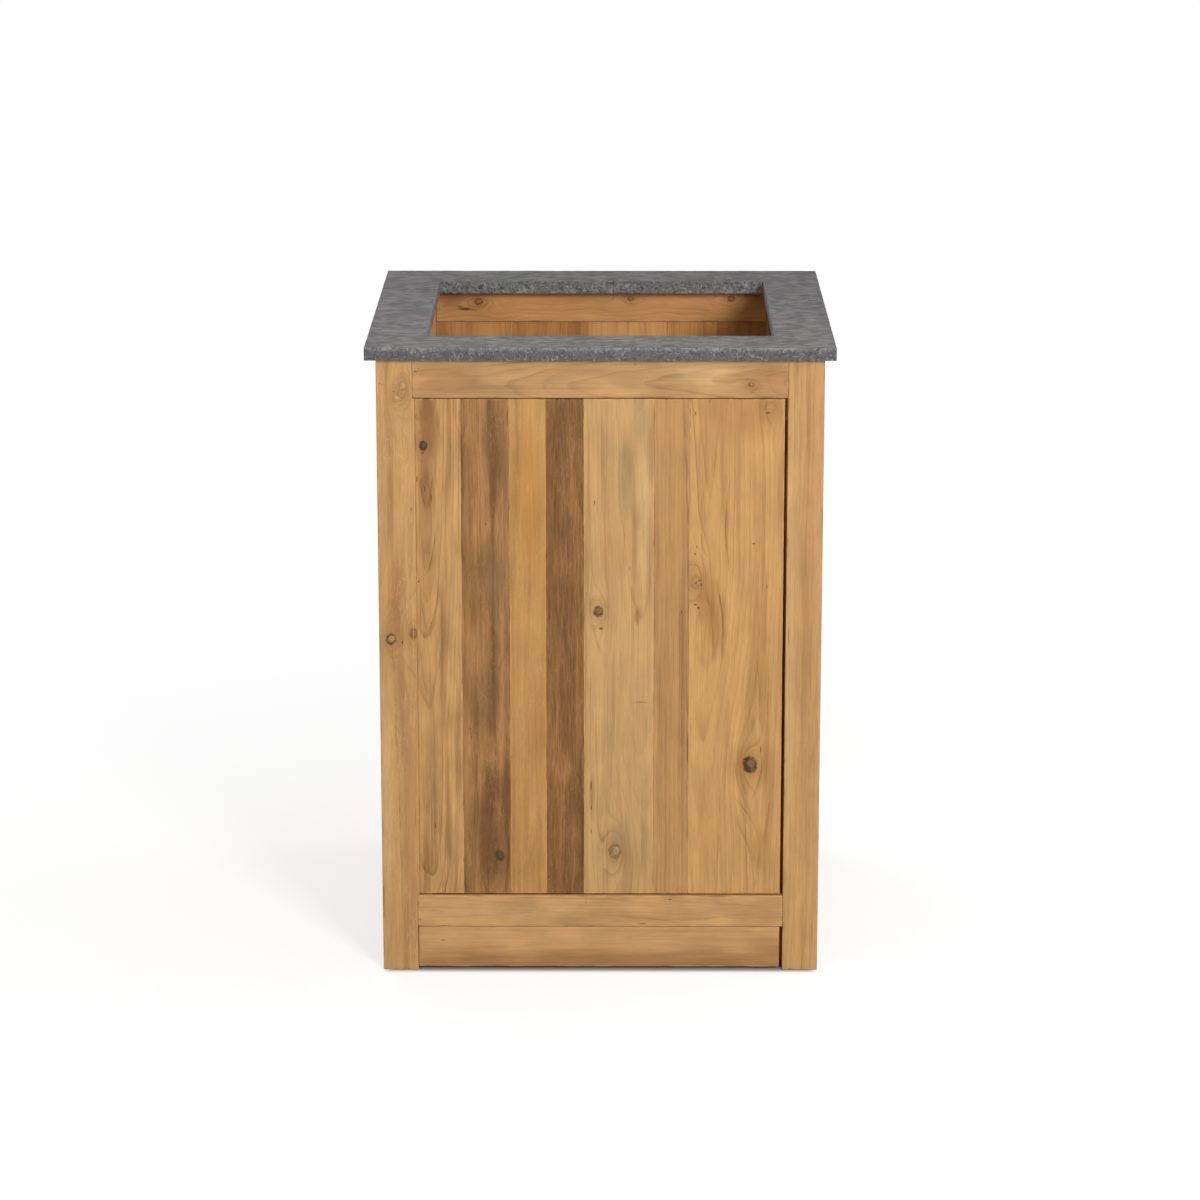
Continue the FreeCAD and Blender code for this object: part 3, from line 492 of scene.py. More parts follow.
# Nicks: sparse short dark dashes and holes, longer along the grain than across it.
nicks, given, gives = effect(
    "nicks", {"Grain": (0.0, 0.0, 0.0), "Amount": 0.03, "Seed": 0.0}, {"Dark": float}
)
tree = nicks
shifted = vector_calc(tree, "MULTIPLY_ADD", given["Grain"], (150.0, 46.0, 60.0),
                      joined(tree, given["Seed"], given["Seed"], given["Seed"]))
cells = put(tree, "ShaderNodeTexVoronoi", {"Vector": shifted, "Scale": 1.0})
chosen = calc(tree, "LESS_THAN", parts_of(tree, cells.outputs["Color"])[0], given["Amount"])
small = ramp(tree, cells.outputs["Distance"], 0.04, 0.2, 1.0, 0.0)
tree.links.new(times(tree, chosen, small), gives["Dark"])

# Edge wear: where an arris is rubbed pale, and where dirt has stayed beside it.
edge_wear, given, gives = effect(
    "edge_wear", {"Arris": 0.0, "Grain": (0.0, 0.0, 0.0), "Seed": 0.0}, {"Rubbed": float, "Dirt": float}
)
tree = edge_wear
patchy = speckle(tree, given["Grain"], (90.0, 26.0, 90.0), given["Seed"], 3.0)
rubbed = times(tree, given["Arris"], ramp(tree, patchy, 0.40, 0.62))
tree.links.new(ramp(tree, rubbed, 0.3, 0.9), gives["Rubbed"])
dirt = times(tree, given["Arris"], ramp(tree, patchy, 0.46, 0.34))
tree.links.new(ramp(tree, dirt, 0.55, 1.0), gives["Dirt"])

# Scuffs: thin squiggly lines along the grain, in patches.
scuffs, given, gives = effect("scuffs", {"Grain": (0.0, 0.0, 0.0), "Seed": 0.0}, {"Line": float})
tree = scuffs
wave = centred(tree, speckle(tree, given["Grain"], (280.0, 46.0, 280.0), given["Seed"], 1.5))
thread = ramp(tree, calc(tree, "ABSOLUTE", wave), 0.004, 0.045, 1.0, 0.0)
patchy = ramp(tree, speckle(tree, given["Grain"], (34.0, 12.0, 34.0), given["Seed"]), 0.38, 0.58)
tree.links.new(times(tree, thread, patchy), gives["Line"])

# Stain: one soft patch with a ragged border, drawn out along the grain.
stain, given, gives = effect(
    "stain",
    {"Grain": (0.0, 0.0, 0.0), "Place": (0.0, 0.0, 0.0), "Size": (0.02, 0.05, 1.0), "Ragged": 0.8},
    {"Mask": float},
)
tree = stain
away = vector_calc(tree, "SUBTRACT", given["Grain"], given["Place"])
away = vector_calc(tree, "DIVIDE", away, given["Size"])
side, run, _ = parts_of(tree, away)
gap = distance(tree, side, run)
torn = centred(tree, speckle(tree, given["Grain"], (130.0, 14.0, 130.0), 5.0, 3.0))
gap = weighted(tree, torn, given["Ragged"], gap)
tree.links.new(ramp(tree, gap, 0.25, 1.0, 1.0, 0.0), gives["Mask"])

# Figure line: one year line that stands out, from a start to an end along a shallow bow. It is sharp on
# one side and fades on the other.
figure_line, given, gives = effect(
    "figure_line",
    {"Grain": (0.0, 0.0, 0.0), "Start": (0.0, 0.0, 0.0), "End": (0.0, 0.1, 0.0), "Bow": 0.0,
     "Width": 0.001},
    {"Mask": float},
)
tree = figure_line
side, run, _ = parts_of(tree, given["Grain"])
first = parts_of(tree, given["Start"])
last = parts_of(tree, given["End"])
length = minus(tree, last[1], first[1])
share = ratio(tree, minus(tree, run, first[1]), length)
centre = weighted(tree, share, minus(tree, last[0], first[0]), first[0])
bulge = times(tree, times(tree, share, minus(tree, 1.0, share)), 4.0)
centre = weighted(tree, bulge, given["Bow"], centre)
shake = centred(tree, speckle(tree, given["Grain"], (20.0, 34.0, 0.0), 2.2))
beside = minus(tree, weighted(tree, shake, 0.003, side), centre)
narrow = ratio(tree, beside, given["Width"])
line = ramp(tree, calc(tree, "ABSOLUTE", narrow), 0.25, 1.0, 1.0, 0.0)
soft = times(tree, ramp(tree, narrow, 0.0, 6.0, 0.45, 0.0), calc(tree, "GREATER_THAN", narrow, 0.0))
ends = times(tree, ramp(tree, share, 0.0, 0.3), ramp(tree, share, 1.0, 0.8))
uneven = ramp(tree, speckle(tree, given["Grain"], (60.0, 26.0, 0.0), 8.4), 0.36, 0.56, 0.35, 1.0)
ends = times(tree, ends, uneven)
tree.links.new(times(tree, calc(tree, "MAXIMUM", line, soft), ends), gives["Mask"])


def mixed_colour(tree, amount, first, second):
    """The first colour where the amount is 0, and the second where it is 1."""
    links = {0: amount, 6: first, 7: second}
    return put(tree, "ShaderNodeMix", links, data_type="RGBA").outputs[2]


def tinted(tree, colour, shade, mask, amount):
    """A colour with a shade laid over it, as strong as the mask times the amount."""
    return mixed_colour(tree, times(tree, mask, amount), colour, shade)


def placed(tree, group, links):
    """The outputs of one of the effects above, placed in a finish."""
    return put(tree, "ShaderNodeGroup", links, node_tree=group).outputs


def mask_of(tree, name):
    """A mask that the mesh carries on its points."""
    return put(tree, "ShaderNodeAttribute", attribute_name=name).outputs["Fac"]


def raised(tree, height, strength, depth):
    """A bumped normal from a height."""
    links = {"Strength": strength, "Distance": depth, "Height": height}
    return put(tree, "ShaderNodeBump", links).outputs[0]


def close_finish(tree, links):
    """Closes a finish with one Principled shader that has these inputs."""
    shader = put(tree, "ShaderNodeBsdfPrincipled", links).outputs[0]
    put(tree, "ShaderNodeOutputMaterial", {"Surface": shader})


def scaled_tone(colour, share):
    """A darker or lighter copy of a colour."""
    return (*(channel * share for channel in colour[:3]), 1.0)


KNOT_DARK = tone(70, 46, 28)
KNOT_HEART = tone(142, 96, 54)
DIRT_DARK = tone(66, 44, 27)
KNOT_PUSH = 1.9
KNOT_DRAW = 2.6
KNOT_SWELL = 2.2
MARK_DARK = 0.8
GRAIN_RELIEF = 0.0004
GRAIN_STRENGTH = 0.45
PINE_SHINE = 0.22


def pine(name, axes, early, late, pith, slope=0.01, roll=0.01, waver=0.006, year=0.0032, seed=0.0,
         rings=0.7, streak=0.5, film=None, cloud=(0.5, 0.75), knots=(), stains=(), lines=(), marks=(),
         nick=0.008, wear=0.45, dirt=0.3, scuff=(None, 0.0), hair=0.42, thread=0.22, mottle=0.42):
    """An old pine finish. axes says which object axes run across, along and into the board.

    Late wood is mixed over early wood by the growth rings, then come streaks, a film of old finish, hairs,
    stains, knots, marks, nicks and the wear of the arrises. Places are in metres, across and along."""
    paint, tree = blank_finish(name)
    xyz = parts_of(tree, object_place(tree))
    straight = joined(tree, *(xyz[axis] for axis in axes))
    grain = straight
    swell = 0.0
    faces = []
    for across, along, radius, heart, ring_dark in knots:
        links = {"Grain": grain, "Place": (across, along, 0.0), "Radius": radius, "Bend": KNOT_PUSH,
                 "Reach": KNOT_DRAW}
        knot = placed(tree, knot_bend, links)
        grain = knot["Grain"]
        swell = weighted(tree, knot["Swell"], KNOT_SWELL, swell)
        faces.append((knot, heart, ring_dark))
    links = {"Grain": grain, "Pith": pith, "Slope": slope, "Roll": roll, "Waver": waver, "Seed": seed,
             "Year width": year, "Swell": swell}
    wood = placed(tree, growth_rings, links)
    hairs = placed(tree, fibre, {"Grain": grain, "Seed": seed})
    strength = weighted(tree, wood["Year"], 0.85 * rings, 0.28 * rings)
    for knot, _, _ in faces:
        strength = weighted(tree, knot["Halo"], 0.45, strength)
    ring = times(tree, wood["Late"], strength)
    colour = mixed_colour(tree, ring, early, late)
    dark_streak = ramp(tree, hairs["Streak"], 0.52, 0.72)
    colour = tinted(tree, colour, scaled_tone(late, 0.92), dark_streak, streak)
    pale_streak = ramp(tree, hairs["Streak"], 0.48, 0.3)
    colour = tinted(tree, colour, scaled_tone(early, 1.16), pale_streak, streak)
    if film:
        ragged = weighted(tree, hairs["Streak"], 0.34, times(tree, hairs["Cloud"], 0.42))
        ragged = weighted(tree, hairs["Hair"], 0.24, ragged)
        colour = tinted(tree, colour, film[0], ramp(tree, ragged, *cloud), film[1])
    for across, along, wide, long, shade, amount in stains:
        links = {"Grain": straight, "Place": (across, along, 0.0), "Size": (wide, long, 1.0)}
        patch = placed(tree, stain, links)[0]
        colour = tinted(tree, colour, shade, patch, amount)
    for start, end, bow, width, amount in lines:
        links = {"Grain": straight, "Start": (*start, 0.0), "End": (*end, 0.0), "Bow": bow,
                 "Width": width}
        mask = placed(tree, figure_line, links)[0]
        colour = tinted(tree, colour, scaled_tone(late, 0.7), mask, amount)
    colour = tinted(tree, colour, scaled_tone(late, 0.72), hairs["Thread"], thread)
    if scuff[1]:
        line = placed(tree, scuffs, {"Grain": grain, "Seed": seed})[0]
        colour = tinted(tree, colour, scuff[0], line, scuff[1])
    bright = weighted(tree, centred(tree, hairs["Hair"]), hair, 1.0)
    bright = weighted(tree, centred(tree, hairs["Fleck"]), 0.45 * hair, bright)
    bright = weighted(tree, centred(tree, hairs["Mottle"]), mottle, bright)
    colour = scaled_vector(tree, colour, bright)
    for knot, heart, ring_dark in faces:
        colour = tinted(tree, colour, scaled_tone(late, 0.85), knot["Halo"], 0.3)
        turned = mixed_colour(tree, knot["Heart"], heart, scaled_tone(heart, 0.72))
        colour = mixed_colour(tree, knot["Core"], colour, turned)
        colour = tinted(tree, colour, KNOT_DARK, knot["Rim"], ring_dark)
    dark = placed(tree, nicks, {"Grain": straight, "Amount": nick, "Seed": seed})[0]
    for across, along, wide, long in marks:
        links = {"Grain": straight, "Place": (across, along, 0.0), "Size": (wide, long, 1.0),
                 "Ragged": 0.9}
        dark = calc(tree, "MAXIMUM", dark, placed(tree, stain, links)[0])
    colour = tinted(tree, colour, KNOT_DARK, dark, MARK_DARK)
    arris = mask_of(tree, "arris")
    edge = placed(tree, edge_wear, {"Arris": arris, "Grain": straight, "Seed": seed})
    colour = tinted(tree, colour, scaled_tone(early, 1.25), edge["Rubbed"], wear)
    colour = tinted(tree, colour, DIRT_DARK, edge["Dirt"], dirt)
    sheen = weighted(tree, hairs["Hair"], 0.22, weighted(tree, ring, -0.08, 0.45))
    height = weighted(tree, hairs["Hair"], 0.5, times(tree, ring, 0.45))
    height = minus(tree, height, times(tree, dark, 1.6))
    bump = raised(tree, height, GRAIN_STRENGTH, GRAIN_RELIEF)
    close_finish(tree, {"Base Color": colour, "Roughness": sheen, "Normal": bump,
                        "Specular IOR Level": PINE_SHINE})
    return paint


def set_piece(piece, paint, node, body):
    """Gives a piece its finish, and puts it in place of its node."""
    piece.data.materials.append(paint)
    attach(piece, body)
    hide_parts(node)


UPRIGHT = (0, 2, 1)
POST_EARLY = tone(196, 151, 97)
POST_LATE = tone(160, 113, 65)
POST_ROSY = tone(176, 127, 82)
POST_BROWN = tone(160, 110, 66)
POST_ARRIS = 0.0016
POST_END = 0.0022
POST_SEED = 10
GROOVE_WIDTH = 0.0126
GROOVE_DEPTH = 0.009
SIDE_GROOVE = (0.102, 0.836)
BACK_GROOVE = (0.102, 0.840)
POST_GROOVES = {
    "front_left_post": [(2, -0.0125, *SIDE_GROOVE)],
    "front_right_post": [(2, 0.0125, *SIDE_GROOVE)],
    "rear_left_post": [(0, -0.0175, *SIDE_GROOVE), (1, -0.0125, *BACK_GROOVE)],
    "rear_right_post": [(0, 0.0175, *SIDE_GROOVE), (3, -0.0125, *BACK_GROOVE)],
}
POST_LOOKS = {
    "front_left_post": dict(
        pith=(-0.36, 0.0, 0.06), slope=0.012, year=0.0026, seed=1.7, rings=0.5,
        scuff=(tone(214, 174, 122), 0.3),
        knots=[(-0.291, 0.485, 0.0066, tone(184, 144, 100), 0.95),
               (-0.2634, 0.493, 0.0064, tone(162, 120, 80), 0.45),
               (-0.2705, 0.844, 0.0052, tone(206, 166, 116), 0.3),
               (-0.276, 0.827, 0.0045, tone(204, 164, 114), 0.25)],
        stains=[(-0.281, 0.56, 0.016, 0.075, POST_BROWN, 0.6),
                (-0.267, 0.23, 0.016, 0.26, POST_ROSY, 0.7),
                (-0.300, 0.25, 0.010, 0.26, tone(208, 168, 118), 0.6)],
        lines=[((-0.2925, 0.56), (-0.2785, 0.06), 0.002, 0.0020, 0.5)],
        marks=[(-0.302, 0.847, 0.0014, 0.0014), (-0.2985, 0.846, 0.001, 0.001),
               (-0.283, 0.836, 0.0012, 0.0014), (-0.2605, 0.67, 0.0011, 0.004),
               (-0.2752, 0.481, 0.0012, 0.0035)],
    ),
    "front_right_post": dict(
        pith=(0.40, 0.0, 0.05), slope=-0.01, year=0.0028, seed=4.1, rings=0.5,
        stains=[(0.264, 0.5, 0.009, 0.5, tone(205, 164, 113), 0.6),
                (0.290, 0.45, 0.016, 0.45, tone(184, 138, 88), 0.5)],
        marks=[(0.262, 0.49, 0.0008, 0.02)],
    ),
    "rear_left_post": dict(
        pith=(-0.35, 0.0, 0.36), slope=0.01, year=0.003, seed=8.6,
        knots=[(-0.282, 0.61, 0.0062, KNOT_HEART, 0.85)],
        stains=[(-0.27, 0.3, 0.02, 0.2, POST_ROSY, 0.6), (-0.262, 0.62, 0.02, 0.1, POST_BROWN, 0.5)],
    ),
    "rear_right_post": dict(
        pith=(0.36, 0.0, 0.35), slope=-0.014, year=0.003, seed=12.2,
        knots=[(0.268, 0.27, 0.0055, KNOT_HEART, 0.8)],
        stains=[(0.28, 0.65, 0.02, 0.18, POST_ROSY, 0.5), (0.27, 0.25, 0.02, 0.1, POST_BROWN, 0.5)],
    ),
}
for number, (node, grooves) in enumerate(POST_GROOVES.items()):
    low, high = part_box(node)
    cut = [(side, middle, GROOVE_WIDTH, GROOVE_DEPTH, *span) for side, middle, *span in grooves]
    post = timber(node + "_timber", low, high, Z, POST_ARRIS, POST_SEED + number, POST_END, cut)
    paint = pine(node + "_pine", UPRIGHT, POST_EARLY, POST_LATE, **POST_LOOKS[node])
    set_piece(post, paint, node, "cabinet")

# Hinge bead: the left post's inner edge is left proud and coved to the swing of the door, so that the round
# hinge edge turns close under it and its clearance does not show from the front.
HINGE_PIVOT = (-0.241, -0.284)
BEAD_SPAN = (0.1118, 0.8264)
COVE_RADIUS = 0.01695
COVE_TURN = (math.radians(35.0), math.radians(14.0))
BEAD_FRONT = -0.0109
BEAD_ROOT = -0.0186
BEAD_FLAT_END = -0.0165
BEAD_NOSE = 0.0005
BEAD_ROWS = 24
COVE_POINTS = 12
NOSE_POINTS = 7


def cove_bead(name, rows):
    """A strip of one section carried up the post: a flat front, a half-round nose, and below it an arc
    about the door's pivot. The root lies inside the post."""
    turn = np.linspace(*COVE_TURN, COVE_POINTS)
    cove = -COVE_RADIUS * np.stack([np.cos(turn), np.sin(turn)], -1)
    hub = np.array([cove[0, 0] - BEAD_NOSE, (cove[0, 1] + BEAD_FRONT) / 2.0])
    bend = np.linspace(-np.pi / 2, np.pi / 2, NOSE_POINTS)
    lift = (cove[0, 1] - BEAD_FRONT) / 2.0
    nose = hub + np.stack([BEAD_NOSE * np.cos(bend), lift * np.sin(bend)], -1)
    front = np.array([[BEAD_ROOT, BEAD_FRONT], [BEAD_FLAT_END, BEAD_FRONT]])
    root = np.array([[BEAD_ROOT, cove[-1, 1]]])
    loop = np.concatenate([front, nose, cove[1:], root]) + np.array(HINGE_PIVOT)
    place = np.linspace(*BEAD_SPAN, rows)[:, None]
    x, y = loop.T
    points = np.stack([x + 0.0 * place, y + 0.0 * place, place + 0.0 * x], -1)
    worn = np.zeros((rows, len(loop)))
    return make_piece(name, points, tube_faces(rows, len(loop)), arris=worn)


bead = cove_bead("front_left_post_bead", BEAD_ROWS)
set_piece(bead, bpy.data.materials["front_left_post_pine"], "front_left_post", "cabinet")

# Rails: horizontal timbers between the posts, held by stub tenons that the posts hide. The front pair
# carries the door's hinges. The rear and side rails are grooved for the panel boards.
TENON = 0.025
RAIL_ARRIS = 0.0011
RAIL_SEED = 30
ALONG_X = (2, 0, 1)
ALONG_Y = (2, 1, 0)
RAIL_EARLY = tone(194, 152, 104)
RAIL_LATE = tone(158, 112, 68)
INNER_EARLY = tone(212, 155, 95)
INNER_LATE = tone(164, 110, 61)
THROUGH = (-1.0, 1.0)
RAIL_SHAPES = {
    "front_top_rail": (X, []),
    "front_bottom_rail": (X, []),
    "rear_top_rail": (X, [0]),
    "rear_bottom_rail": (X, [2]),
    "left_top_rail": (Y, [3]),
    "left_bottom_rail": (Y, [1]),
    "right_top_rail": (Y, [3]),
    "right_bottom_rail": (Y, [1]),
}
RAIL_LOOKS = {
    "front_top_rail": dict(
        early=tone(188, 146, 98), late=tone(148, 104, 61), pith=(0.8435, 0.0, -0.254), slope=0.062,
        roll=0.02, waver=0.03, year=0.0044, seed=2.3, rings=0.85, hair=0.34, thread=0.14, mottle=0.75,
        knots=[(0.846, 0.2067, 0.0032, tone(178, 132, 84), 0.6)],
        stains=[(0.85, 0.235, 0.04, 0.05, tone(170, 124, 78), 0.65),
                (0.85, -0.21, 0.04, 0.07, tone(174, 128, 81), 0.6),
                (0.862, 0.14, 0.018, 0.06, tone(214, 174, 124), 0.6),
                (0.838, 0.02, 0.012, 0.07, tone(204, 160, 104), 0.5),
                (0.87, -0.06, 0.014, 0.06, tone(178, 132, 84), 0.5)],
        marks=[(0.864, -0.253, 0.0012, 0.0018), (0.868, -0.249, 0.001, 0.001),
               (0.874, 0.048, 0.0012, 0.0016), (0.872, 0.056, 0.001, 0.0012)],
    ),
    "front_bottom_rail": dict(
        early=tone(199, 154, 102), late=tone(160, 112, 64), pith=(0.135, 0.0, -0.25), slope=0.03,
        roll=0.012, waver=0.012, year=0.0034, seed=6.2, rings=0.6, hair=0.28, thread=0.06, streak=0.2,
        mottle=0.8,
        stains=[(0.085, 0.215, 0.02, 0.06, tone(176, 131, 84), 0.5),
                (0.088, -0.12, 0.014, 0.12, tone(205, 162, 110), 0.5)],
        marks=[(0.0755, -0.2548, 0.0024, 0.0014), (0.1005, -0.0205, 0.002, 0.0008),
               (0.087, 0.2605, 0.002, 0.001), (0.069, 0.06, 0.0012, 0.008)],
        lines=[((0.1095, -0.20), (0.1005, 0.09), 0.002, 0.0010, 0.35),
               ((0.0835, -0.06), (0.0705, 0.12), 0.003, 0.0011, 0.4),
               ((0.1020, 0.05), (0.0930, 0.24), 0.003, 0.0010, 0.35),
               ((0.0800, -0.25), (0.0880, -0.08), -0.003, 0.0010, 0.3),
               ((0.0740, 0.10), (0.0900, 0.255), -0.002, 0.0011, 0.35)],
    ),
    "rear_top_rail": dict(
        early=INNER_EARLY, late=INNER_LATE, pith=(0.87, 0.0, 0.30), slope=0.0, roll=0.05, seed=9.4,
        knots=[(0.861, -0.184, 0.0052, tone(176, 124, 74), 0.7),
               (0.866, 0.043, 0.0036, tone(178, 126, 76), 0.5),
               (0.866, 0.194, 0.0046, tone(170, 118, 70), 0.6)],
        stains=[(0.866, -0.225, 0.02, 0.03, tone(150, 100, 56), 0.6),
                (0.850, -0.204, 0.004, 0.016, tone(84, 52, 28), 0.9)],
        marks=[(0.8485, -0.192, 0.0012, 0.008), (0.8535, -0.212, 0.0012, 0.006)],
    ),
    "rear_bottom_rail": dict(early=INNER_EARLY, late=INNER_LATE, pith=(0.10, 0.0, 0.33), seed=3.9),
    "left_top_rail": dict(
        early=RAIL_EARLY, late=RAIL_LATE, pith=(0.87, 0.0, -0.27), slope=0.02, roll=0.04, seed=11.5,
    ),
    "left_bottom_rail": dict(
        early=RAIL_EARLY, late=RAIL_LATE, pith=(0.10, 0.0, -0.25), slope=-0.02, seed=14.8,
    ),
    "right_top_rail": dict(
        early=RAIL_EARLY, late=RAIL_LATE, pith=(0.84, 0.0, 0.27), slope=-0.02, roll=0.04, seed=17.1,
    ),
    "right_bottom_rail": dict(
        early=RAIL_EARLY, late=RAIL_LATE, pith=(0.07, 0.0, 0.25), slope=0.02, seed=21.4,
    ),
}
for number, (node, (along, sides)) in enumerate(RAIL_SHAPES.items()):
    low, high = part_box(node)
    low[along] += TENON
    high[along] -= TENON
    cut = [(side, 0.0, GROOVE_WIDTH, GROOVE_DEPTH, *THROUGH) for side in sides]
    rail = timber(node + "_timber", low, high, along, RAIL_ARRIS, RAIL_SEED + number, grooves=cut)
    paint = pine(node + "_pine", (ALONG_X, ALONG_Y)[along], **RAIL_LOOKS[node])
    set_piece(rail, paint, node, "cabinet")

# Panel boards: thin upright pine boards, edge to edge in the grooves of the posts and rails. They close
# the back and both sides. Each was cut from another old board, so the tones differ.
PANEL_TONES = [
    (tone(210, 154, 92), tone(166, 108, 58)),
    (tone(199, 141, 82), tone(154, 98, 52)),
    (tone(216, 163, 102), tone(172, 117, 64)),
    (tone(204, 147, 85), tone(160, 103, 55)),
    (tone(195, 137, 79), tone(150, 96, 51)),
]
FACING_SIDE = (1, 2, 0)
DIP = 0.0002
PANEL_ARRIS = 0.0007
LINE_SPANS = ((-0.004, 0.004), (0.0008, 0.0014), (0.3, 0.7))
PANELS = (
    ("back", 5, UPRIGHT, Y, 140),
    ("left", 4, FACING_SIDE, X, 140),
    ("right", 4, FACING_SIDE, X, 190),
)
for panel, count, axes, deep, first_seed in PANELS:
    for number in range(1, count + 1):
        node = f"{panel}_board_{number}"
        low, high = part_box(node)
        seed = first_seed + number
        rng = np.random.default_rng(seed)
        early, late = PANEL_TONES[(number + len(panel)) % len(PANEL_TONES)]
        left, right = low[axes[0]], high[axes[0]]
        pith = (
            (left + right) / 2.0 + rng.uniform(-0.04, 0.04),
            rng.uniform(0.2, 0.7),
            low[deep] + rng.choice([-1, 1]) * rng.uniform(0.03, 0.08),
        )
        knots = [
            (rng.uniform(left + 0.02, right - 0.02), rng.uniform(0.16, 0.8), rng.uniform(0.003, 0.007),
             KNOT_HEART, 0.8)
            for _ in range(rng.integers(0, 3))
        ]
        lines = []
        for _ in range(rng.integers(2, 6)):
            start = (rng.uniform(left + 0.01, right - 0.01), rng.uniform(0.35, 0.82))
            end = (start[0] + rng.uniform(-0.006, 0.006), start[1] - rng.uniform(0.12, 0.5))
            bow, width, amount = (rng.uniform(*span) for span in LINE_SPANS)
            lines.append((start, end, bow, width, amount))
        stains = [
            (rng.uniform(left, right), rng.uniform(0.15, 0.8), rng.uniform(0.012, 0.035),
             rng.uniform(0.05, 0.2), scaled_tone(late, rng.uniform(0.9, 1.25)), rng.uniform(0.3, 0.7))
            for _ in range(3)
        ]
        coat = (scaled_tone(late, 0.8), rng.choice([0.15, 0.35, 0.6]))
        paint = pine(node + "_pine", axes, early, late, pith, slope=rng.uniform(-0.03, 0.03), roll=0.02,
                     year=rng.uniform(0.0026, 0.0042), seed=rng.uniform(0.0, 40.0), knots=knots,
                     lines=lines, stains=stains, film=coat, cloud=(0.46, 0.66))
        dips = (DIP, 0.0, DIP, 0.0) if panel == "back" else (0.0, DIP, 0.0, DIP)
        board = timber(node + "_timber", low, high, Z, PANEL_ARRIS, seed, rough=dips)
        set_piece(board, paint, node, "cabinet")

# Floor of the cabinet: four boards across two cleats that are screwed to the side rails. The front board
# is notched round the front posts.
FLOOR_EARLY = tone(190, 143, 94)
FLOOR_LATE = tone(150, 102, 60)
POST_CORNER = 0.2565
NOTCH = 0.025
CLEAT_ARRIS = 0.001
CLEAT_SEED = 60
CLEAT_GRAIN = 33.0
CLEAT_PITHS = {"left_floor_cleat": -0.2, "right_floor_cleat": 0.2}
FLOOR_ARRIS = 0.0008
FLOOR_SEED = 64
FLOOR_GRAIN_SEED = 70
FLOOR_HEIGHT = 0.111
FLAT = (1, 0, 2)
for number, (node, deep) in enumerate(CLEAT_PITHS.items()):
    low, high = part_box(node)
    cleat = timber(node + "_timber", low, high, Y, CLEAT_ARRIS, CLEAT_SEED + number)
    pith = (0.03, 0.0, deep)
    paint = pine(node + "_pine", ALONG_Y, FLOOR_EARLY, FLOOR_LATE, pith, seed=CLEAT_GRAIN + number)
    set_piece(cleat, paint, node, "cabinet")
for number in range(1, 5):
    node = f"floor_board_{number}"
    low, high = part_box(node)
    cut = [(3, NOTCH, -1.0, -POST_CORNER), (3, NOTCH, POST_CORNER, 1.0)] if number == 1 else []
    board = timber(node + "_timber", low, high, X, FLOOR_ARRIS, FLOOR_SEED + number, notches=cut,
                   rough=(DIP, 0.0, DIP, 0.0))
    rng = np.random.default_rng(FLOOR_GRAIN_SEED + number)
    pith = (
        (low[1] + high[1]) / 2.0 + rng.uniform(-0.04, 0.04),
        rng.uniform(-0.2, 0.2),
        FLOOR_HEIGHT + rng.choice([-1, 1]) * 0.05,
    )
    slope, seed = rng.uniform(-0.03, 0.03), rng.uniform(0.0, 40.0)
    knot = (pith[0] + 0.02, rng.uniform(-0.2, 0.2), 0.005, KNOT_HEART, 0.8)
    paint = pine(node + "_pine", FLAT, FLOOR_EARLY, FLOOR_LATE, pith, slope, 0.02, seed=seed,
                 knots=[knot])
    set_piece(board, paint, node, "cabinet")

# Toe board: a board set back a little under the bottom rail, with a gap at its right end. Two small blocks
# behind it hold it to the front posts.
TOE_ARRIS = 0.0009
TOE_SEED = 80
TOE_EARLY = tone(200, 155, 103)
TOE_LATE = tone(164, 117, 70)
TOE_LOOKS = dict(
    pith=(0.13, 0.0, -0.25), slope=0.004, roll=0.006, waver=0.004, year=0.0026, seed=5.5, rings=0.4,
    hair=0.3, thread=0.1, streak=0.35, mottle=0.5,
    # The first stain darkens the toe board along its whole length towards the floor: painted shade.
    stains=[(0.0, 0.0, 0.040, 0.9, tone(150, 105, 64), 0.75),
            (0.03, 0.235, 0.03, 0.04, tone(170, 124, 78), 0.6)],
)
BLOCK_WIDTH = 0.025
BLOCK_ARRIS = 0.0008
BLOCK_SEED = 81
low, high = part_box("toe_board")
toe = timber("toe_board_timber", low, high, X, TOE_ARRIS, TOE_SEED)
paint = pine("toe_board_pine", ALONG_X, TOE_EARLY, TOE_LATE, **TOE_LOOKS)
set_piece(toe, paint, "toe_board", "cabinet")
low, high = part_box("toe_blocks")
left_high = (low[0] + BLOCK_WIDTH, high[1], high[2])
right_low = (high[0] - BLOCK_WIDTH, low[1], low[2])
block_spans = {"toe_blocks_timber": (low, left_high), "toe_block_right_timber": (right_low, high)}
paint = pine("toe_blocks_pine", UPRIGHT, FLOOR_EARLY, FLOOR_LATE, (0.0, 0.0, -0.2), seed=41.0)
for number, (name, span) in enumerate(block_spans.items()):
    block = timber(name, *span, Z, BLOCK_ARRIS, BLOCK_SEED + number)
    set_piece(block, paint, "toe_blocks", "cabinet")

# Door stop: a short planed strip of pine, screwed behind the top rail. It catches the head of the door
# when the door shuts, and it shows only from inside.
STOP_ARRIS = 0.0009
STOP_SEED = 83
low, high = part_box("door_stop")
stop_strip = timber("door_stop_timber", low, high, X, STOP_ARRIS, STOP_SEED)
paint = pine("door_stop_pine", ALONG_X, FLOOR_EARLY, FLOOR_LATE, (0.8, 0.0, -0.2), seed=44.0)
set_piece(stop_strip, paint, "door_stop", "cabinet")

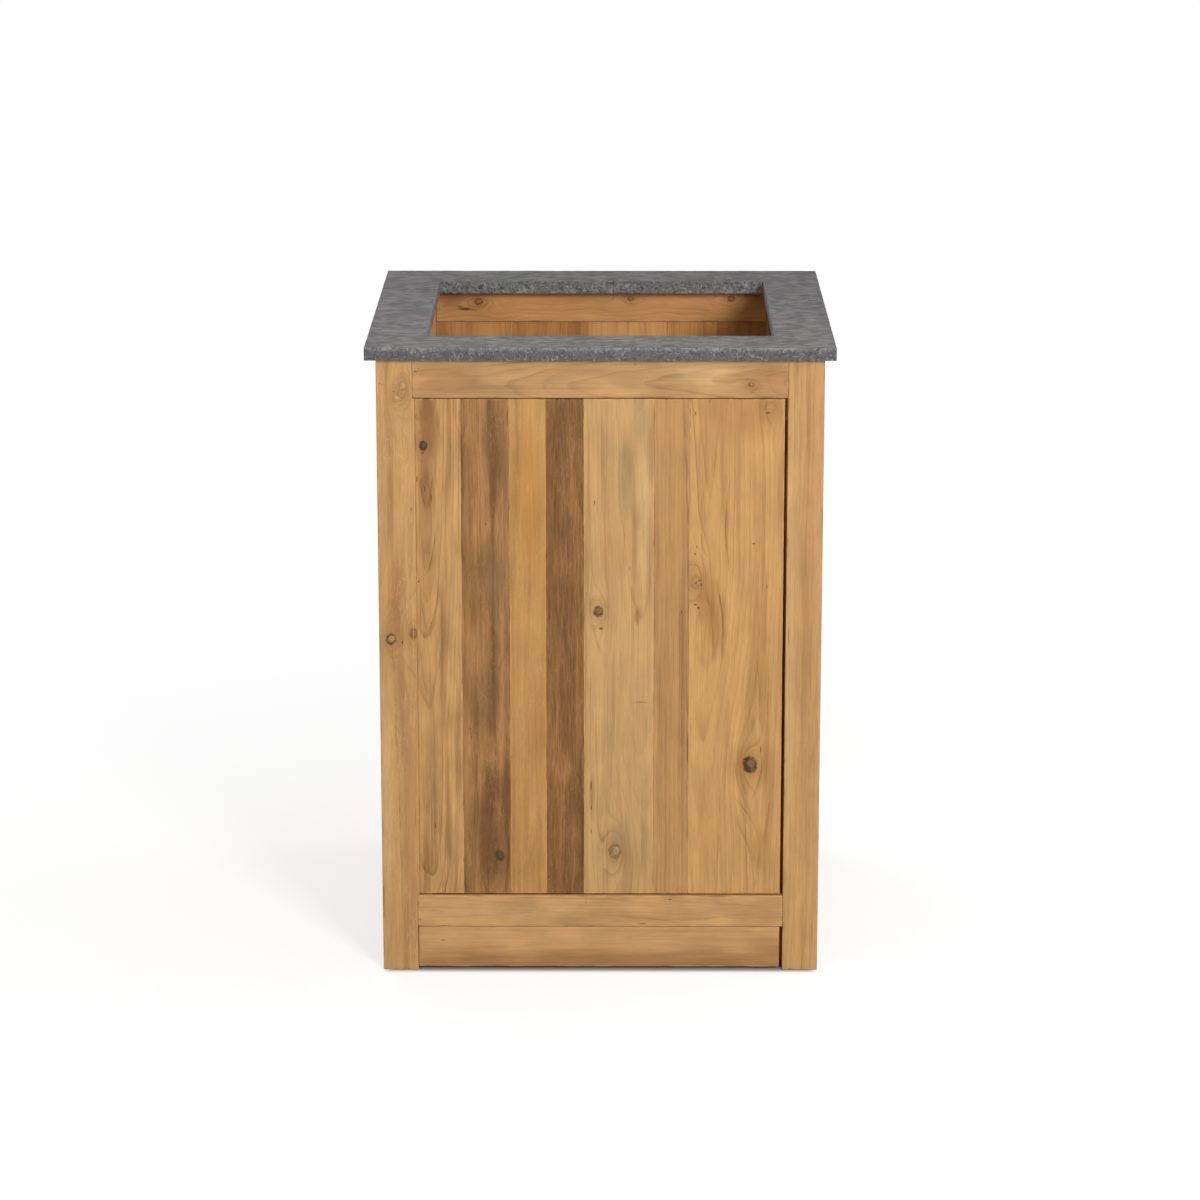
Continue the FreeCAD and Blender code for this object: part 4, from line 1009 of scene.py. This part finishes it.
# Door boards: seven upright boards of reclaimed pine, of different width, age and old finish, edge to
# edge. The two dark ones keep most of a brown coat. The first board's hinge edge is rounded.
DOOR_LOOKS = {
    1: dict(
        early=tone(196, 151, 96), late=tone(138, 92, 50), pith=(-0.241, 0.47, -0.258), slope=0.034,
        roll=0.012, waver=0.007, year=0.0036, seed=1.3, rings=0.95, mottle=0.8, streak=0.65,
        knots=[(-0.2436, 0.7595, 0.0056, tone(98, 74, 52), 1.0)],
        stains=[(-0.236, 0.79, 0.021, 0.10, tone(140, 96, 54), 0.85),
                (-0.240, 0.70, 0.016, 0.085, tone(146, 100, 57), 0.75),
                (-0.239, 0.58, 0.014, 0.10, tone(168, 120, 70), 0.5),
                (-0.204, 0.52, 0.010, 0.36, tone(194, 152, 98), 0.55),
                (-0.2525, 0.4, 0.004, 0.5, tone(198, 150, 92), 0.6),
                (-0.238, 0.25, 0.016, 0.18, tone(176, 130, 78), 0.5)],
        marks=[(-0.2446, 0.7492, 0.0026, 0.0018), (-0.2525, 0.7126, 0.0012, 0.006),
               (-0.242, 0.699, 0.0011, 0.006), (-0.233, 0.687, 0.0012, 0.008),
               (-0.252, 0.567, 0.0016, 0.002), (-0.232, 0.213, 0.001, 0.006)],
        lines=[((-0.2505, 0.815), (-0.2500, 0.46), 0.0, 0.0008, 0.5),
               ((-0.2480, 0.725), (-0.2407, 0.668), -0.002, 0.0011, 0.7),
               ((-0.2305, 0.722), (-0.2407, 0.668), 0.002, 0.0011, 0.7),
               ((-0.2485, 0.640), (-0.2405, 0.576), -0.002, 0.0010, 0.5),
               ((-0.2285, 0.645), (-0.2405, 0.576), 0.003, 0.0012, 0.65),
               ((-0.2495, 0.565), (-0.2400, 0.490), -0.002, 0.0010, 0.5),
               ((-0.2250, 0.570), (-0.2400, 0.490), 0.004, 0.0012, 0.6),
               ((-0.2500, 0.480), (-0.2395, 0.395), -0.003, 0.0010, 0.45),
               ((-0.2210, 0.490), (-0.2395, 0.395), 0.004, 0.0011, 0.5),
               ((-0.2400, 0.330), (-0.2385, 0.125), 0.002, 0.0011, 0.55),
               ((-0.2330, 0.310), (-0.2318, 0.125), -0.001, 0.0010, 0.5),
               ((-0.2270, 0.270), (-0.2262, 0.125), 0.001, 0.0009, 0.4)],
    ),
    2: dict(
        early=tone(168, 121, 73), late=tone(124, 83, 47), pith=(-0.12, 0.47, -0.22), slope=0.012,
        roll=0.03, waver=0.012, year=0.0038, seed=3.8, rings=0.6, streak=0.75,
        film=(tone(106, 70, 38), 0.8), cloud=(0.44, 0.58), nick=0.02, scuff=(tone(180, 134, 84), 0.35),
        dirt=0.5, hair=1.1, mottle=0.6,
        knots=[(-0.1416, 0.169, 0.0066, tone(100, 76, 53), 0.75)],
        stains=[(-0.182, 0.6, 0.010, 0.4, tone(168, 120, 70), 0.6),
                (-0.143, 0.765, 0.030, 0.085, tone(112, 81, 52), 0.62),
                (-0.146, 0.575, 0.024, 0.070, tone(124, 96, 64), 0.65),
                (-0.160, 0.395, 0.028, 0.055, tone(120, 90, 58), 0.6),
                (-0.16, 0.32, 0.036, 0.045, tone(166, 121, 72), 0.55),
                (-0.154, 0.19, 0.04, 0.11, tone(104, 68, 38), 0.7)],
        marks=[(-0.1586, 0.649, 0.0014, 0.003), (-0.180, 0.342, 0.001, 0.004),
               (-0.1275, 0.80, 0.0016, 0.02), (-0.1285, 0.18, 0.0012, 0.03),
               (-0.1815, 0.355, 0.0016, 0.0016)],
        lines=[((-0.1670, 0.815), (-0.1662, 0.46), 0.001, 0.0009, 0.5),
               ((-0.1810, 0.730), (-0.1812, 0.62), 0.0, 0.0011, 0.5),
               ((-0.1565, 0.750), (-0.1425, 0.712), -0.002, 0.0010, 0.35),
               ((-0.1345, 0.750), (-0.1425, 0.712), 0.002, 0.0010, 0.35),
               ((-0.1740, 0.430), (-0.1735, 0.20), 0.001, 0.0010, 0.4),
               ((-0.1480, 0.420), (-0.1500, 0.24), 0.002, 0.0009, 0.35)],
    ),
    3: dict(
        early=tone(190, 143, 84), late=tone(160, 112, 58), pith=(-0.0, 0.47, -0.12), slope=0.004,
        roll=0.01, waver=0.004, year=0.0034, seed=5.6, rings=0.5, scuff=(tone(208, 164, 108), 0.22),
        stains=[(-0.097, 0.68, 0.026, 0.14, tone(188, 131, 67), 0.7),
                (-0.09, 0.36, 0.022, 0.08, tone(170, 121, 66), 0.45),
                (-0.1, 0.16, 0.03, 0.06, tone(172, 124, 70), 0.4)],
    ),
    4: dict(
        early=tone(146, 101, 58), late=tone(106, 69, 37), pith=(0.03, 0.47, -0.16), slope=0.006,
        roll=0.02, waver=0.008, year=0.003, seed=7.9, rings=0.75, streak=0.8,
        film=(tone(104, 68, 37), 0.62), cloud=(0.40, 0.60), nick=0.05, dirt=0.85,
        scuff=(tone(168, 121, 75), 0.35), hair=2.0, mottle=0.7,
        stains=[(-0.05, 0.30, 0.03, 0.028, tone(160, 113, 66), 0.65),
                (-0.062, 0.55, 0.012, 0.12, tone(150, 104, 60), 0.4),
                (-0.05, 0.80, 0.03, 0.04, tone(98, 64, 36), 0.5)],
        lines=[((-0.0640, 0.780), (-0.0635, 0.610), 0.001, 0.0009, 0.5),
               ((-0.0445, 0.720), (-0.0450, 0.490), -0.001, 0.0009, 0.45),
               ((-0.0545, 0.610), (-0.0540, 0.400), 0.001, 0.0010, 0.5),
               ((-0.0365, 0.500), (-0.0360, 0.200), -0.001, 0.0009, 0.45),
               ((-0.0605, 0.370), (-0.0600, 0.135), 0.001, 0.0010, 0.5),
               ((-0.0490, 0.280), (-0.0495, 0.120), 0.0, 0.0009, 0.4)],
    ),
    5: dict(
        early=tone(198, 156, 103), late=tone(162, 117, 70), pith=(0.052, 0.47, -0.24), slope=0.03,
        roll=0.012, waver=0.010, year=0.0048, seed=9.2, rings=0.6,
        knots=[(-0.0028, 0.5243, 0.0066, tone(142, 106, 72), 0.75),
               (0.0205, 0.176, 0.0088, tone(182, 146, 102), 0.5)],
        stains=[(0.035, 0.72, 0.014, 0.08, tone(162, 132, 92), 0.7),
                (0.028, 0.20, 0.02, 0.035, tone(164, 136, 98), 0.6),
                (-0.012, 0.26, 0.005, 0.05, tone(140, 98, 58), 0.5),
                (0.02, 0.62, 0.03, 0.06, tone(190, 144, 88), 0.5),
                (0.055, 0.80, 0.012, 0.05, tone(172, 140, 98), 0.5),
                (0.062, 0.66, 0.012, 0.15, tone(208, 170, 118), 0.6),
                (0.051, 0.517, 0.005, 0.016, tone(156, 106, 60), 0.7)],
        marks=[(0.057, 0.394, 0.018, 0.0006), (0.041, 0.586, 0.0008, 0.005),
               (-0.013, 0.272, 0.0016, 0.012), (-0.0125, 0.24, 0.0011, 0.005),
               (-0.013, 0.205, 0.001, 0.006), (0.001, 0.500, 0.0035, 0.0035)],
        lines=[((0.0098, 0.235), (0.0095, 0.108), 0.0, 0.0009, 0.6),
               ((0.0715, 0.440), (0.0738, 0.394), 0.003, 0.0008, 0.7),
               ((-0.0060, 0.552), (-0.0095, 0.508), -0.006, 0.0011, 0.55),
               ((0.0045, 0.545), (0.0035, 0.508), 0.005, 0.0009, 0.45),
               ((-0.0105, 0.512), (0.0010, 0.462), -0.002, 0.0010, 0.5),
               ((0.0430, 0.690), (0.0415, 0.420), 0.002, 0.0010, 0.35),
               ((0.0190, 0.480), (0.0175, 0.260), -0.002, 0.0010, 0.35),
               ((0.0560, 0.330), (0.0575, 0.125), 0.002, 0.0010, 0.35),
               ((0.0330, 0.790), (0.0300, 0.560), 0.003, 0.0009, 0.3)],
    ),
    6: dict(
        early=tone(188, 143, 90), late=tone(150, 104, 60), pith=(0.21, 0.47, -0.2), slope=0.004,
        roll=0.01, waver=0.004, year=0.0046, seed=11.1, rings=0.8,
        stains=[(0.116, 0.45, 0.005, 0.4, tone(160, 113, 66), 0.6),
                (0.09, 0.45, 0.012, 0.2, tone(176, 130, 80), 0.5)],
        marks=[(0.1222, 0.60, 0.0008, 0.12), (0.1222, 0.33, 0.0008, 0.10)],
        lines=[((0.1135, 0.825), (0.1205, 0.640), 0.001, 0.0010, 0.55),
               ((0.1165, 0.825), (0.1210, 0.500), 0.001, 0.0009, 0.5),
               ((0.1085, 0.640), (0.1110, 0.130), 0.001, 0.0010, 0.5),
               ((0.1140, 0.620), (0.1155, 0.125), -0.001, 0.0010, 0.55),
               ((0.1190, 0.560), (0.1200, 0.125), 0.001, 0.0009, 0.5),
               ((0.0960, 0.800), (0.0985, 0.330), 0.002, 0.0010, 0.3),
               ((0.0840, 0.520), (0.0850, 0.130), -0.002, 0.0010, 0.3)],
    ),
    7: dict(
        early=tone(201, 155, 96), late=tone(152, 104, 56), pith=(0.150, 0.50, -0.262), slope=0.05,
        roll=0.02, waver=0.014, year=0.0062, seed=13.4, rings=0.72, streak=0.38,
        knots=[(0.2096, 0.3034, 0.0095, tone(136, 103, 70), 1.0),
               (0.134, 0.566, 0.008, tone(192, 142, 86), 0.2),
               (0.232, 0.8135, 0.006, tone(192, 144, 88), 0.12)],
        stains=[(0.213, 0.362, 0.004, 0.018, tone(150, 118, 84), 0.8),
                (0.148, 0.54, 0.016, 0.05, tone(174, 122, 66), 0.6),
                (0.157, 0.505, 0.020, 0.070, tone(160, 110, 60), 0.6),
                (0.19, 0.81, 0.085, 0.065, tone(178, 128, 73), 0.6),
                (0.15, 0.2, 0.02, 0.12, tone(186, 137, 80), 0.5),
                (0.225, 0.18, 0.02, 0.05, tone(176, 128, 74), 0.5),
                (0.232, 0.814, 0.016, 0.008, tone(172, 123, 72), 0.55)],
        marks=[(0.1325, 0.5655, 0.0022, 0.0020), (0.1375, 0.5690, 0.0026, 0.0016),
               (0.1400, 0.5630, 0.0016, 0.0022), (0.1320, 0.5345, 0.0024, 0.0018),
               (0.1362, 0.5300, 0.0016, 0.0032), (0.1312, 0.6070, 0.0018, 0.0022),
               (0.1335, 0.6170, 0.0012, 0.0030), (0.2121, 0.6215, 0.0030, 0.0016),
               (0.2300, 0.8060, 0.0048, 0.0016), (0.2245, 0.325, 0.001, 0.006)],
        lines=[((0.1830, 0.730), (0.1815, 0.572), -0.009, 0.0012, 0.65),
               ((0.1600, 0.790), (0.1420, 0.640), 0.005, 0.0010, 0.45),
               ((0.1500, 0.780), (0.1330, 0.650), 0.004, 0.0009, 0.4),
               ((0.1400, 0.640), (0.1490, 0.600), -0.004, 0.0010, 0.5),
               ((0.1575, 0.578), (0.1680, 0.450), 0.007, 0.0020, 0.7),
               ((0.1430, 0.564), (0.1560, 0.445), 0.006, 0.0018, 0.6),
               ((0.1345, 0.545), (0.1420, 0.440), 0.002, 0.0011, 0.5),
               ((0.2160, 0.480), (0.2230, 0.350), 0.002, 0.0011, 0.5),
               ((0.2330, 0.470), (0.2310, 0.330), 0.002, 0.0010, 0.45),
               ((0.1930, 0.330), (0.2090, 0.250), -0.005, 0.0011, 0.55),
               ((0.2270, 0.320), (0.2105, 0.250), 0.005, 0.0011, 0.55),
               ((0.1880, 0.320), (0.2110, 0.232), -0.006, 0.0010, 0.45),
               ((0.1815, 0.262), (0.2240, 0.180), 0.010, 0.0018, 0.5),
               ((0.2395, 0.290), (0.2255, 0.176), 0.004, 0.0015, 0.45),
               ((0.1790, 0.240), (0.2150, 0.116), 0.012, 0.0017, 0.42),
               ((0.2235, 0.190), (0.2150, 0.112), 0.002, 0.0012, 0.35),
               ((0.1680, 0.290), (0.1640, 0.150), 0.001, 0.0011, 0.5)],
    ),
}
DOOR_ARRIS = 0.0005
HINGE_EDGE = 0.0020
DOOR_END = 0.0006
DOOR_SEED = 90
for number, looks in DOOR_LOOKS.items():
    node = f"door_board_{number}"
    low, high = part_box(node)
    arris = (DOOR_ARRIS, DOOR_ARRIS, DOOR_ARRIS, HINGE_EDGE if number == 1 else DOOR_ARRIS)
    board = timber(node + "_timber", low, high, Z, arris, DOOR_SEED + number, DOOR_END,
                   rough=(DIP, 0.0, DIP, 0.0))
    paint = pine(node + "_pine", UPRIGHT, **looks)
    set_piece(board, paint, node, "door")

# Door battens: two planed pine boards across the back of the door, with eased arrises. Screws through them
# hold the seven boards together, and the inside of the cabinet hides them while the door is shut.
BATTEN_ARRIS = 0.0012
BATTEN_SEED = 110
BATTEN_GRAIN = 50.0
for number, node in enumerate(("lower_door_batten", "upper_door_batten")):
    low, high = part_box(node)
    batten = timber(node + "_timber", low, high, X, BATTEN_ARRIS, BATTEN_SEED + number)
    pith = (low[2] + 0.02, 0.1, -0.22)
    paint = pine(node + "_pine", ALONG_X, FLOOR_EARLY, FLOOR_LATE, pith, 0.02, 0.03,
                 seed=BATTEN_GRAIN + number)
    set_piece(batten, paint, node, "door")

# Stone worktop: one honed slab of grey limestone on dabs of mortar. Its faces are smooth and cloudy, and a
# little darker towards the back, as painted shade. The outer edges are tooled rough, the sawn edge of the
# cut-out is paler, and the arrises are worn by use and carry a painted highlight.
STONE_SEED = 5
STONE_ARRIS = 0.0015
STONE_ROUGH = 0.0003
STONE_CHIPS = 26
STONE_CHIP_LENGTH = 0.004
STONE_CORNER = 0.0025
CUTOUT = ((-0.240, -0.220), (0.240, 0.215))
CUTOUT_CORNER = 0.003
SIDE_POINTS = 120
CORNER_POINTS = 6
EDGE_ROWS = 5
TOP_ROWS = 15
ARRIS_MARK = 0.75


def frame_path(low, high, radius, straight, round_points):
    """A rounded rectangle walked against the clock, with the same share of points on each side and corner."""
    (x0, y0), (x1, y1) = low, high
    left, right, front, back = x0 + radius, x1 - radius, y0 + radius, y1 - radius
    hubs = [(right, front), (right, back), (left, back), (left, front)]
    starts = [(left, y0), (x1, front), (right, y1), (x0, back)]
    ends = [(right, y0), (x1, back), (left, y1), (x0, front)]
    share = np.linspace(0.0, 1.0, straight)[1:-1, None]
    path = []
    for side in range(4):
        angle = np.linspace(0.0, np.pi / 2, round_points) + (side - 1) * np.pi / 2
        path.append(np.array(starts[side]) + share * (np.array(ends[side]) - np.array(starts[side])))
        path.append(np.array(hubs[side]) + radius * np.stack([np.cos(angle), np.sin(angle)], -1))
    return np.concatenate(path)


def worktop(name, low, high):
    """A slab with a hole, as a section carried round a rectangular path.

    Each section goes up the outer edge, round its arris, across the top to the cut-out, round that arris,
    down the inner edge and back below. The arris radius wavers along the path, with chips, and the outer
    edge is pulled in by slow waves."""
    rng = np.random.default_rng(STONE_SEED)
    outer = frame_path(low[:2], high[:2], STONE_CORNER, SIDE_POINTS, CORNER_POINTS)
    inner = frame_path(*CUTOUT, CUTOUT_CORNER, SIDE_POINTS, CORNER_POINTS)
    walk = np.concatenate([[0.0], np.cumsum(np.linalg.norm(np.diff(outer, axis=0), axis=1))])
    inward = inner - outer
    inward /= np.linalg.norm(inward, axis=1)[:, None]
    arris = STONE_ARRIS * (0.5 + 0.9 * slow_waves(rng, walk, 0.012, 0.2))
    for chip in rng.uniform(0.0, walk[-1], STONE_CHIPS):
        bite = np.exp(-(((walk - chip) / STONE_CHIP_LENGTH) ** 2))
        arris = arris + STONE_ARRIS * rng.uniform(0.2, 1.1) * bite
    rough = STONE_ROUGH * slow_waves(rng, walk, 0.008, 0.05)
    bend = np.linspace(0.0, np.pi / 2, CORNER_POINTS)
    width = np.linalg.norm(inner - outer, axis=1)
    across, up, edge = [], [], []
    top, bottom = high[2], low[2]
    for height in np.linspace(0.0, 1.0, EDGE_ROWS)[:-1]:
        across.append(rough)
        up.append(bottom + height * (top - arris - bottom))
        edge.append(1.0)
    for angle in bend:
        across.append(rough + arris * (1.0 - np.cos(angle)))
        up.append(top - arris * (1.0 - np.sin(angle)))
        edge.append(ARRIS_MARK)
    for share in np.linspace(0.02, 0.98, TOP_ROWS):
        across.append(arris + rough + share * (width - 2.0 * arris - 2.0 * rough))
        up.append(top + 0.0 * walk)
        edge.append(0.0)
    for angle in bend[::-1]:
        across.append(width - rough - arris * (1.0 - np.cos(angle)))
        up.append(top - arris * (1.0 - np.sin(angle)))
        edge.append(ARRIS_MARK)
    for height in np.linspace(1.0, 0.0, EDGE_ROWS)[1:]:
        across.append(width - rough)
        up.append(bottom + height * (top - arris - bottom))
        edge.append(1.0)
    for share in np.linspace(0.9, 0.1, EDGE_ROWS):
        across.append(share * width)
        up.append(bottom + 0.0 * walk)
        edge.append(0.0)
    across = np.stack(across, 1)[..., None]
    flat = outer[:, None, :] + across * inward[:, None, :]
    points = np.concatenate([flat, np.stack(up, 1)[..., None]], -1)
    points = np.concatenate([points, points[:1]])
    rows, columns = points.shape[:2]
    faces = np.array(grid_faces(rows, columns))[:, ::-1] % ((rows - 1) * columns)
    edge = np.broadcast_to(np.array(edge), (rows - 1, columns))
    inside = np.arange(columns) > columns // 2
    sawn = (edge == 1.0) & inside
    return make_piece(name, points[:-1], faces.tolist(), edge=edge, arris=edge == ARRIS_MARK, sawn=sawn)


low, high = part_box("stone_top")
slab = worktop("stone_top_slab", low, high)
STONE_DARK = tone(97, 95, 95)
STONE_PALE = tone(145, 143, 142)
STONE_FLECK = tone(164, 162, 161)
STONE_BACK_PAINTED_SHADE = 0.75
STONE_TOOLED = tone(99, 97, 97)
STONE_HOLLOW = tone(56, 54, 55)
STONE_ARRIS_HIGHLIGHT = tone(158, 156, 155)
STONE_SHINE = 0.13
STONE_STRENGTH = 0.9
STONE_RELIEF = 0.0016
SAWN = tone(152, 149, 149)
SAWN_PALE = tone(206, 203, 203)
SAWN_DARK = tone(92, 90, 90)
paint, tree = blank_finish("honed_limestone")
place = object_place(tree)
warp = noise(tree, place, 9.0, 3.0)[1]
pushed = vector_calc(tree, "MULTIPLY_ADD", warp, (0.05, 0.05, 0.05), place)
clouds = speckle(tree, pushed, (30.0, 34.0, 34.0), 1.0, 5.0)
veins = speckle(tree, pushed, (60.0, 90.0, 90.0), 4.0, 4.0)
grit = speckle(tree, place, (620.0, 620.0, 620.0), 2.0, 2.0)
blend = weighted(tree, veins, 0.7, times(tree, clouds, 0.5))
colour = mixed_colour(tree, ramp(tree, blend, 0.44, 0.78), STONE_DARK, STONE_PALE)
edge = mask_of(tree, "edge")
tooled = noise(tree, place, 150.0, 4.0, 1.6)[0]
fleck = times(tree, edge, ramp(tree, tooled, 0.56, 0.70))
hollow = times(tree, edge, ramp(tree, tooled, 0.46, 0.30))
colour = tinted(tree, colour, STONE_TOOLED, edge, 0.85)
sawn = mask_of(tree, "sawn")
colour = tinted(tree, colour, SAWN, sawn, 0.65)
colour = tinted(tree, colour, STONE_FLECK, fleck, 0.7)
colour = tinted(tree, colour, STONE_HOLLOW, hollow, 0.7)
colour = tinted(tree, colour, SAWN_PALE, sawn, ramp(tree, tooled, 0.50, 0.62, 0.0, 0.32))
colour = tinted(tree, colour, SAWN_DARK, sawn, ramp(tree, tooled, 0.48, 0.36, 0.0, 0.32))
# The arrises are paler in patches: wear, with a painted highlight along them.
arris = mask_of(tree, "arris")
colour = tinted(tree, colour, STONE_ARRIS_HIGHLIGHT, arris, ramp(tree, tooled, 0.42, 0.58, 0.15, 0.7))
bright = weighted(tree, centred(tree, grit), 0.42, 1.0)
# Painted shade: the slab's colour darkens from its front to its back.
darker = ramp(tree, parts_of(tree, place)[1], low[1], high[1], 1.0, STONE_BACK_PAINTED_SHADE)
bright = times(tree, bright, darker)
colour = scaled_vector(tree, colour, bright)
relief = weighted(tree, clouds, 3.0, veins)
relief = weighted(tree, grit, 0.2, relief)
height = weighted(tree, times(tree, tooled, edge), 2.2, relief)
bump = raised(tree, height, STONE_STRENGTH, STONE_RELIEF)
matt = weighted(tree, clouds, 0.2, 0.55)
close_finish(tree, {"Base Color": colour, "Roughness": matt, "Normal": bump,
                    "Specular IOR Level": STONE_SHINE})
set_piece(slab, paint, "stone_top", "cabinet")

# Bedding: flat dabs of grey cement mortar, laid with a trowel on the rails and posts, in which the slab is
# set. They keep their CAD shape and get a finish only.


def plain_finish(name, colour, other, size, roughness, metal=0.0):
    """A finish of two near tones in fine and coarse noise, with a matching change of gloss and bump."""
    paint, tree = blank_finish(name)
    place = object_place(tree)
    coarse = speckle(tree, place, (size, size, size), 2.0, 4.0)
    fine = speckle(tree, place, (size * 7.0, size * 7.0, size * 7.0), 6.0, 2.0)
    blend = weighted(tree, fine, 0.35, times(tree, coarse, 0.75))
    shade = mixed_colour(tree, ramp(tree, blend, 0.35, 0.75), colour, other)
    gloss = weighted(tree, blend, 0.3, roughness - 0.15)
    bump = raised(tree, blend, 0.3, 0.0002)
    close_finish(tree, {"Base Color": shade, "Roughness": gloss, "Normal": bump, "Metallic": metal})
    return paint


def refinish(paint, *nodes):
    """Gives CAD nodes that keep their shape a better finish."""
    for node in nodes:
        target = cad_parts[node]
        target.data.materials.clear()
        target.data.materials.append(paint)


mortar = plain_finish("bedding_mortar_grey", tone(150, 146, 138), tone(176, 171, 162), 260.0, 0.9)
refinish(mortar, "bedding_dabs")

# Screws: countersunk steel screws with a cross recess, zinc plated and a little dull with age. They hold
# the frame, the battens and the hardware, and they keep their CAD shape.
steel = plain_finish("dull_zinc_steel", tone(150, 148, 142), tone(188, 187, 182), 420.0, 0.42, 1.0)
refinish(steel, "carcass_screws", "door_screws", "frame_hardware_screws", "door_hardware_screws")

# Pivot hinges: brass plates let into the rails and into the door's ends, with a pin in each pair and a
# thrust washer below that carries the door. The brass is browned by age.
brass = plain_finish("aged_brass", tone(150, 112, 56), tone(196, 158, 88), 240.0, 0.38, 1.0)
refinish(brass, "lower_pivot_frame_plate", "upper_pivot_frame_plate", "pivot_washer")
refinish(brass, "lower_pivot_door_plate", "upper_pivot_door_plate")

# Touch latch: a moulded holder and housing on the right post, with a sprung steel plunger and a magnet
# that meets a steel strike plate on the door.
moulded = plain_finish("brown_moulding", tone(122, 90, 60), tone(140, 106, 73), 900.0, 0.5)
refinish(moulded, "latch_holder", "latch_housing")
bright_steel = plain_finish("latch_steel_bright", tone(170, 170, 170), tone(206, 206, 204),
                            500.0, 0.3, 1.0)
refinish(bright_steel, "latch_plunger", "latch_magnet", "strike_plate")
SPRING_TURNS = 9
SPRING_WIRE = 0.00025
SPRING_STEPS = 20
SPRING_SIDES = 8


def coil_spring(name, low, high, steps_per_turn, sides):
    """A round wire along a helix: the centre runs round the Y axis at an even pitch from the front of the box
    to its back, and each section is a circle in the plane of the radius and the axis."""
    centre = (low + high) / 2.0
    radius = (high[0] - low[0]) / 2.0 - SPRING_WIRE
    turn = np.linspace(0.0, 2.0 * np.pi * SPRING_TURNS, SPRING_TURNS * steps_per_turn + 1)[:, None]
    along = np.linspace(low[1] + SPRING_WIRE, high[1] - SPRING_WIRE, len(turn))[:, None]
    angle = np.linspace(0.0, 2.0 * np.pi, sides, endpoint=False)[None, :]
    reach = radius + SPRING_WIRE * np.cos(angle)
    points = np.stack([
        centre[0] + reach * np.cos(turn),
        along + SPRING_WIRE * np.sin(angle) + 0.0 * reach,
        centre[2] + reach * np.sin(turn),
    ], -1)
    return make_piece(name, points, tube_faces(*points.shape[:2]))


low, high = (np.array(corner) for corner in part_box("latch_spring"))
spring = coil_spring("latch_spring_coil", low, high, SPRING_STEPS, SPRING_SIDES)
set_piece(spring, bright_steel, "latch_spring", "cabinet")
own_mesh(spring)
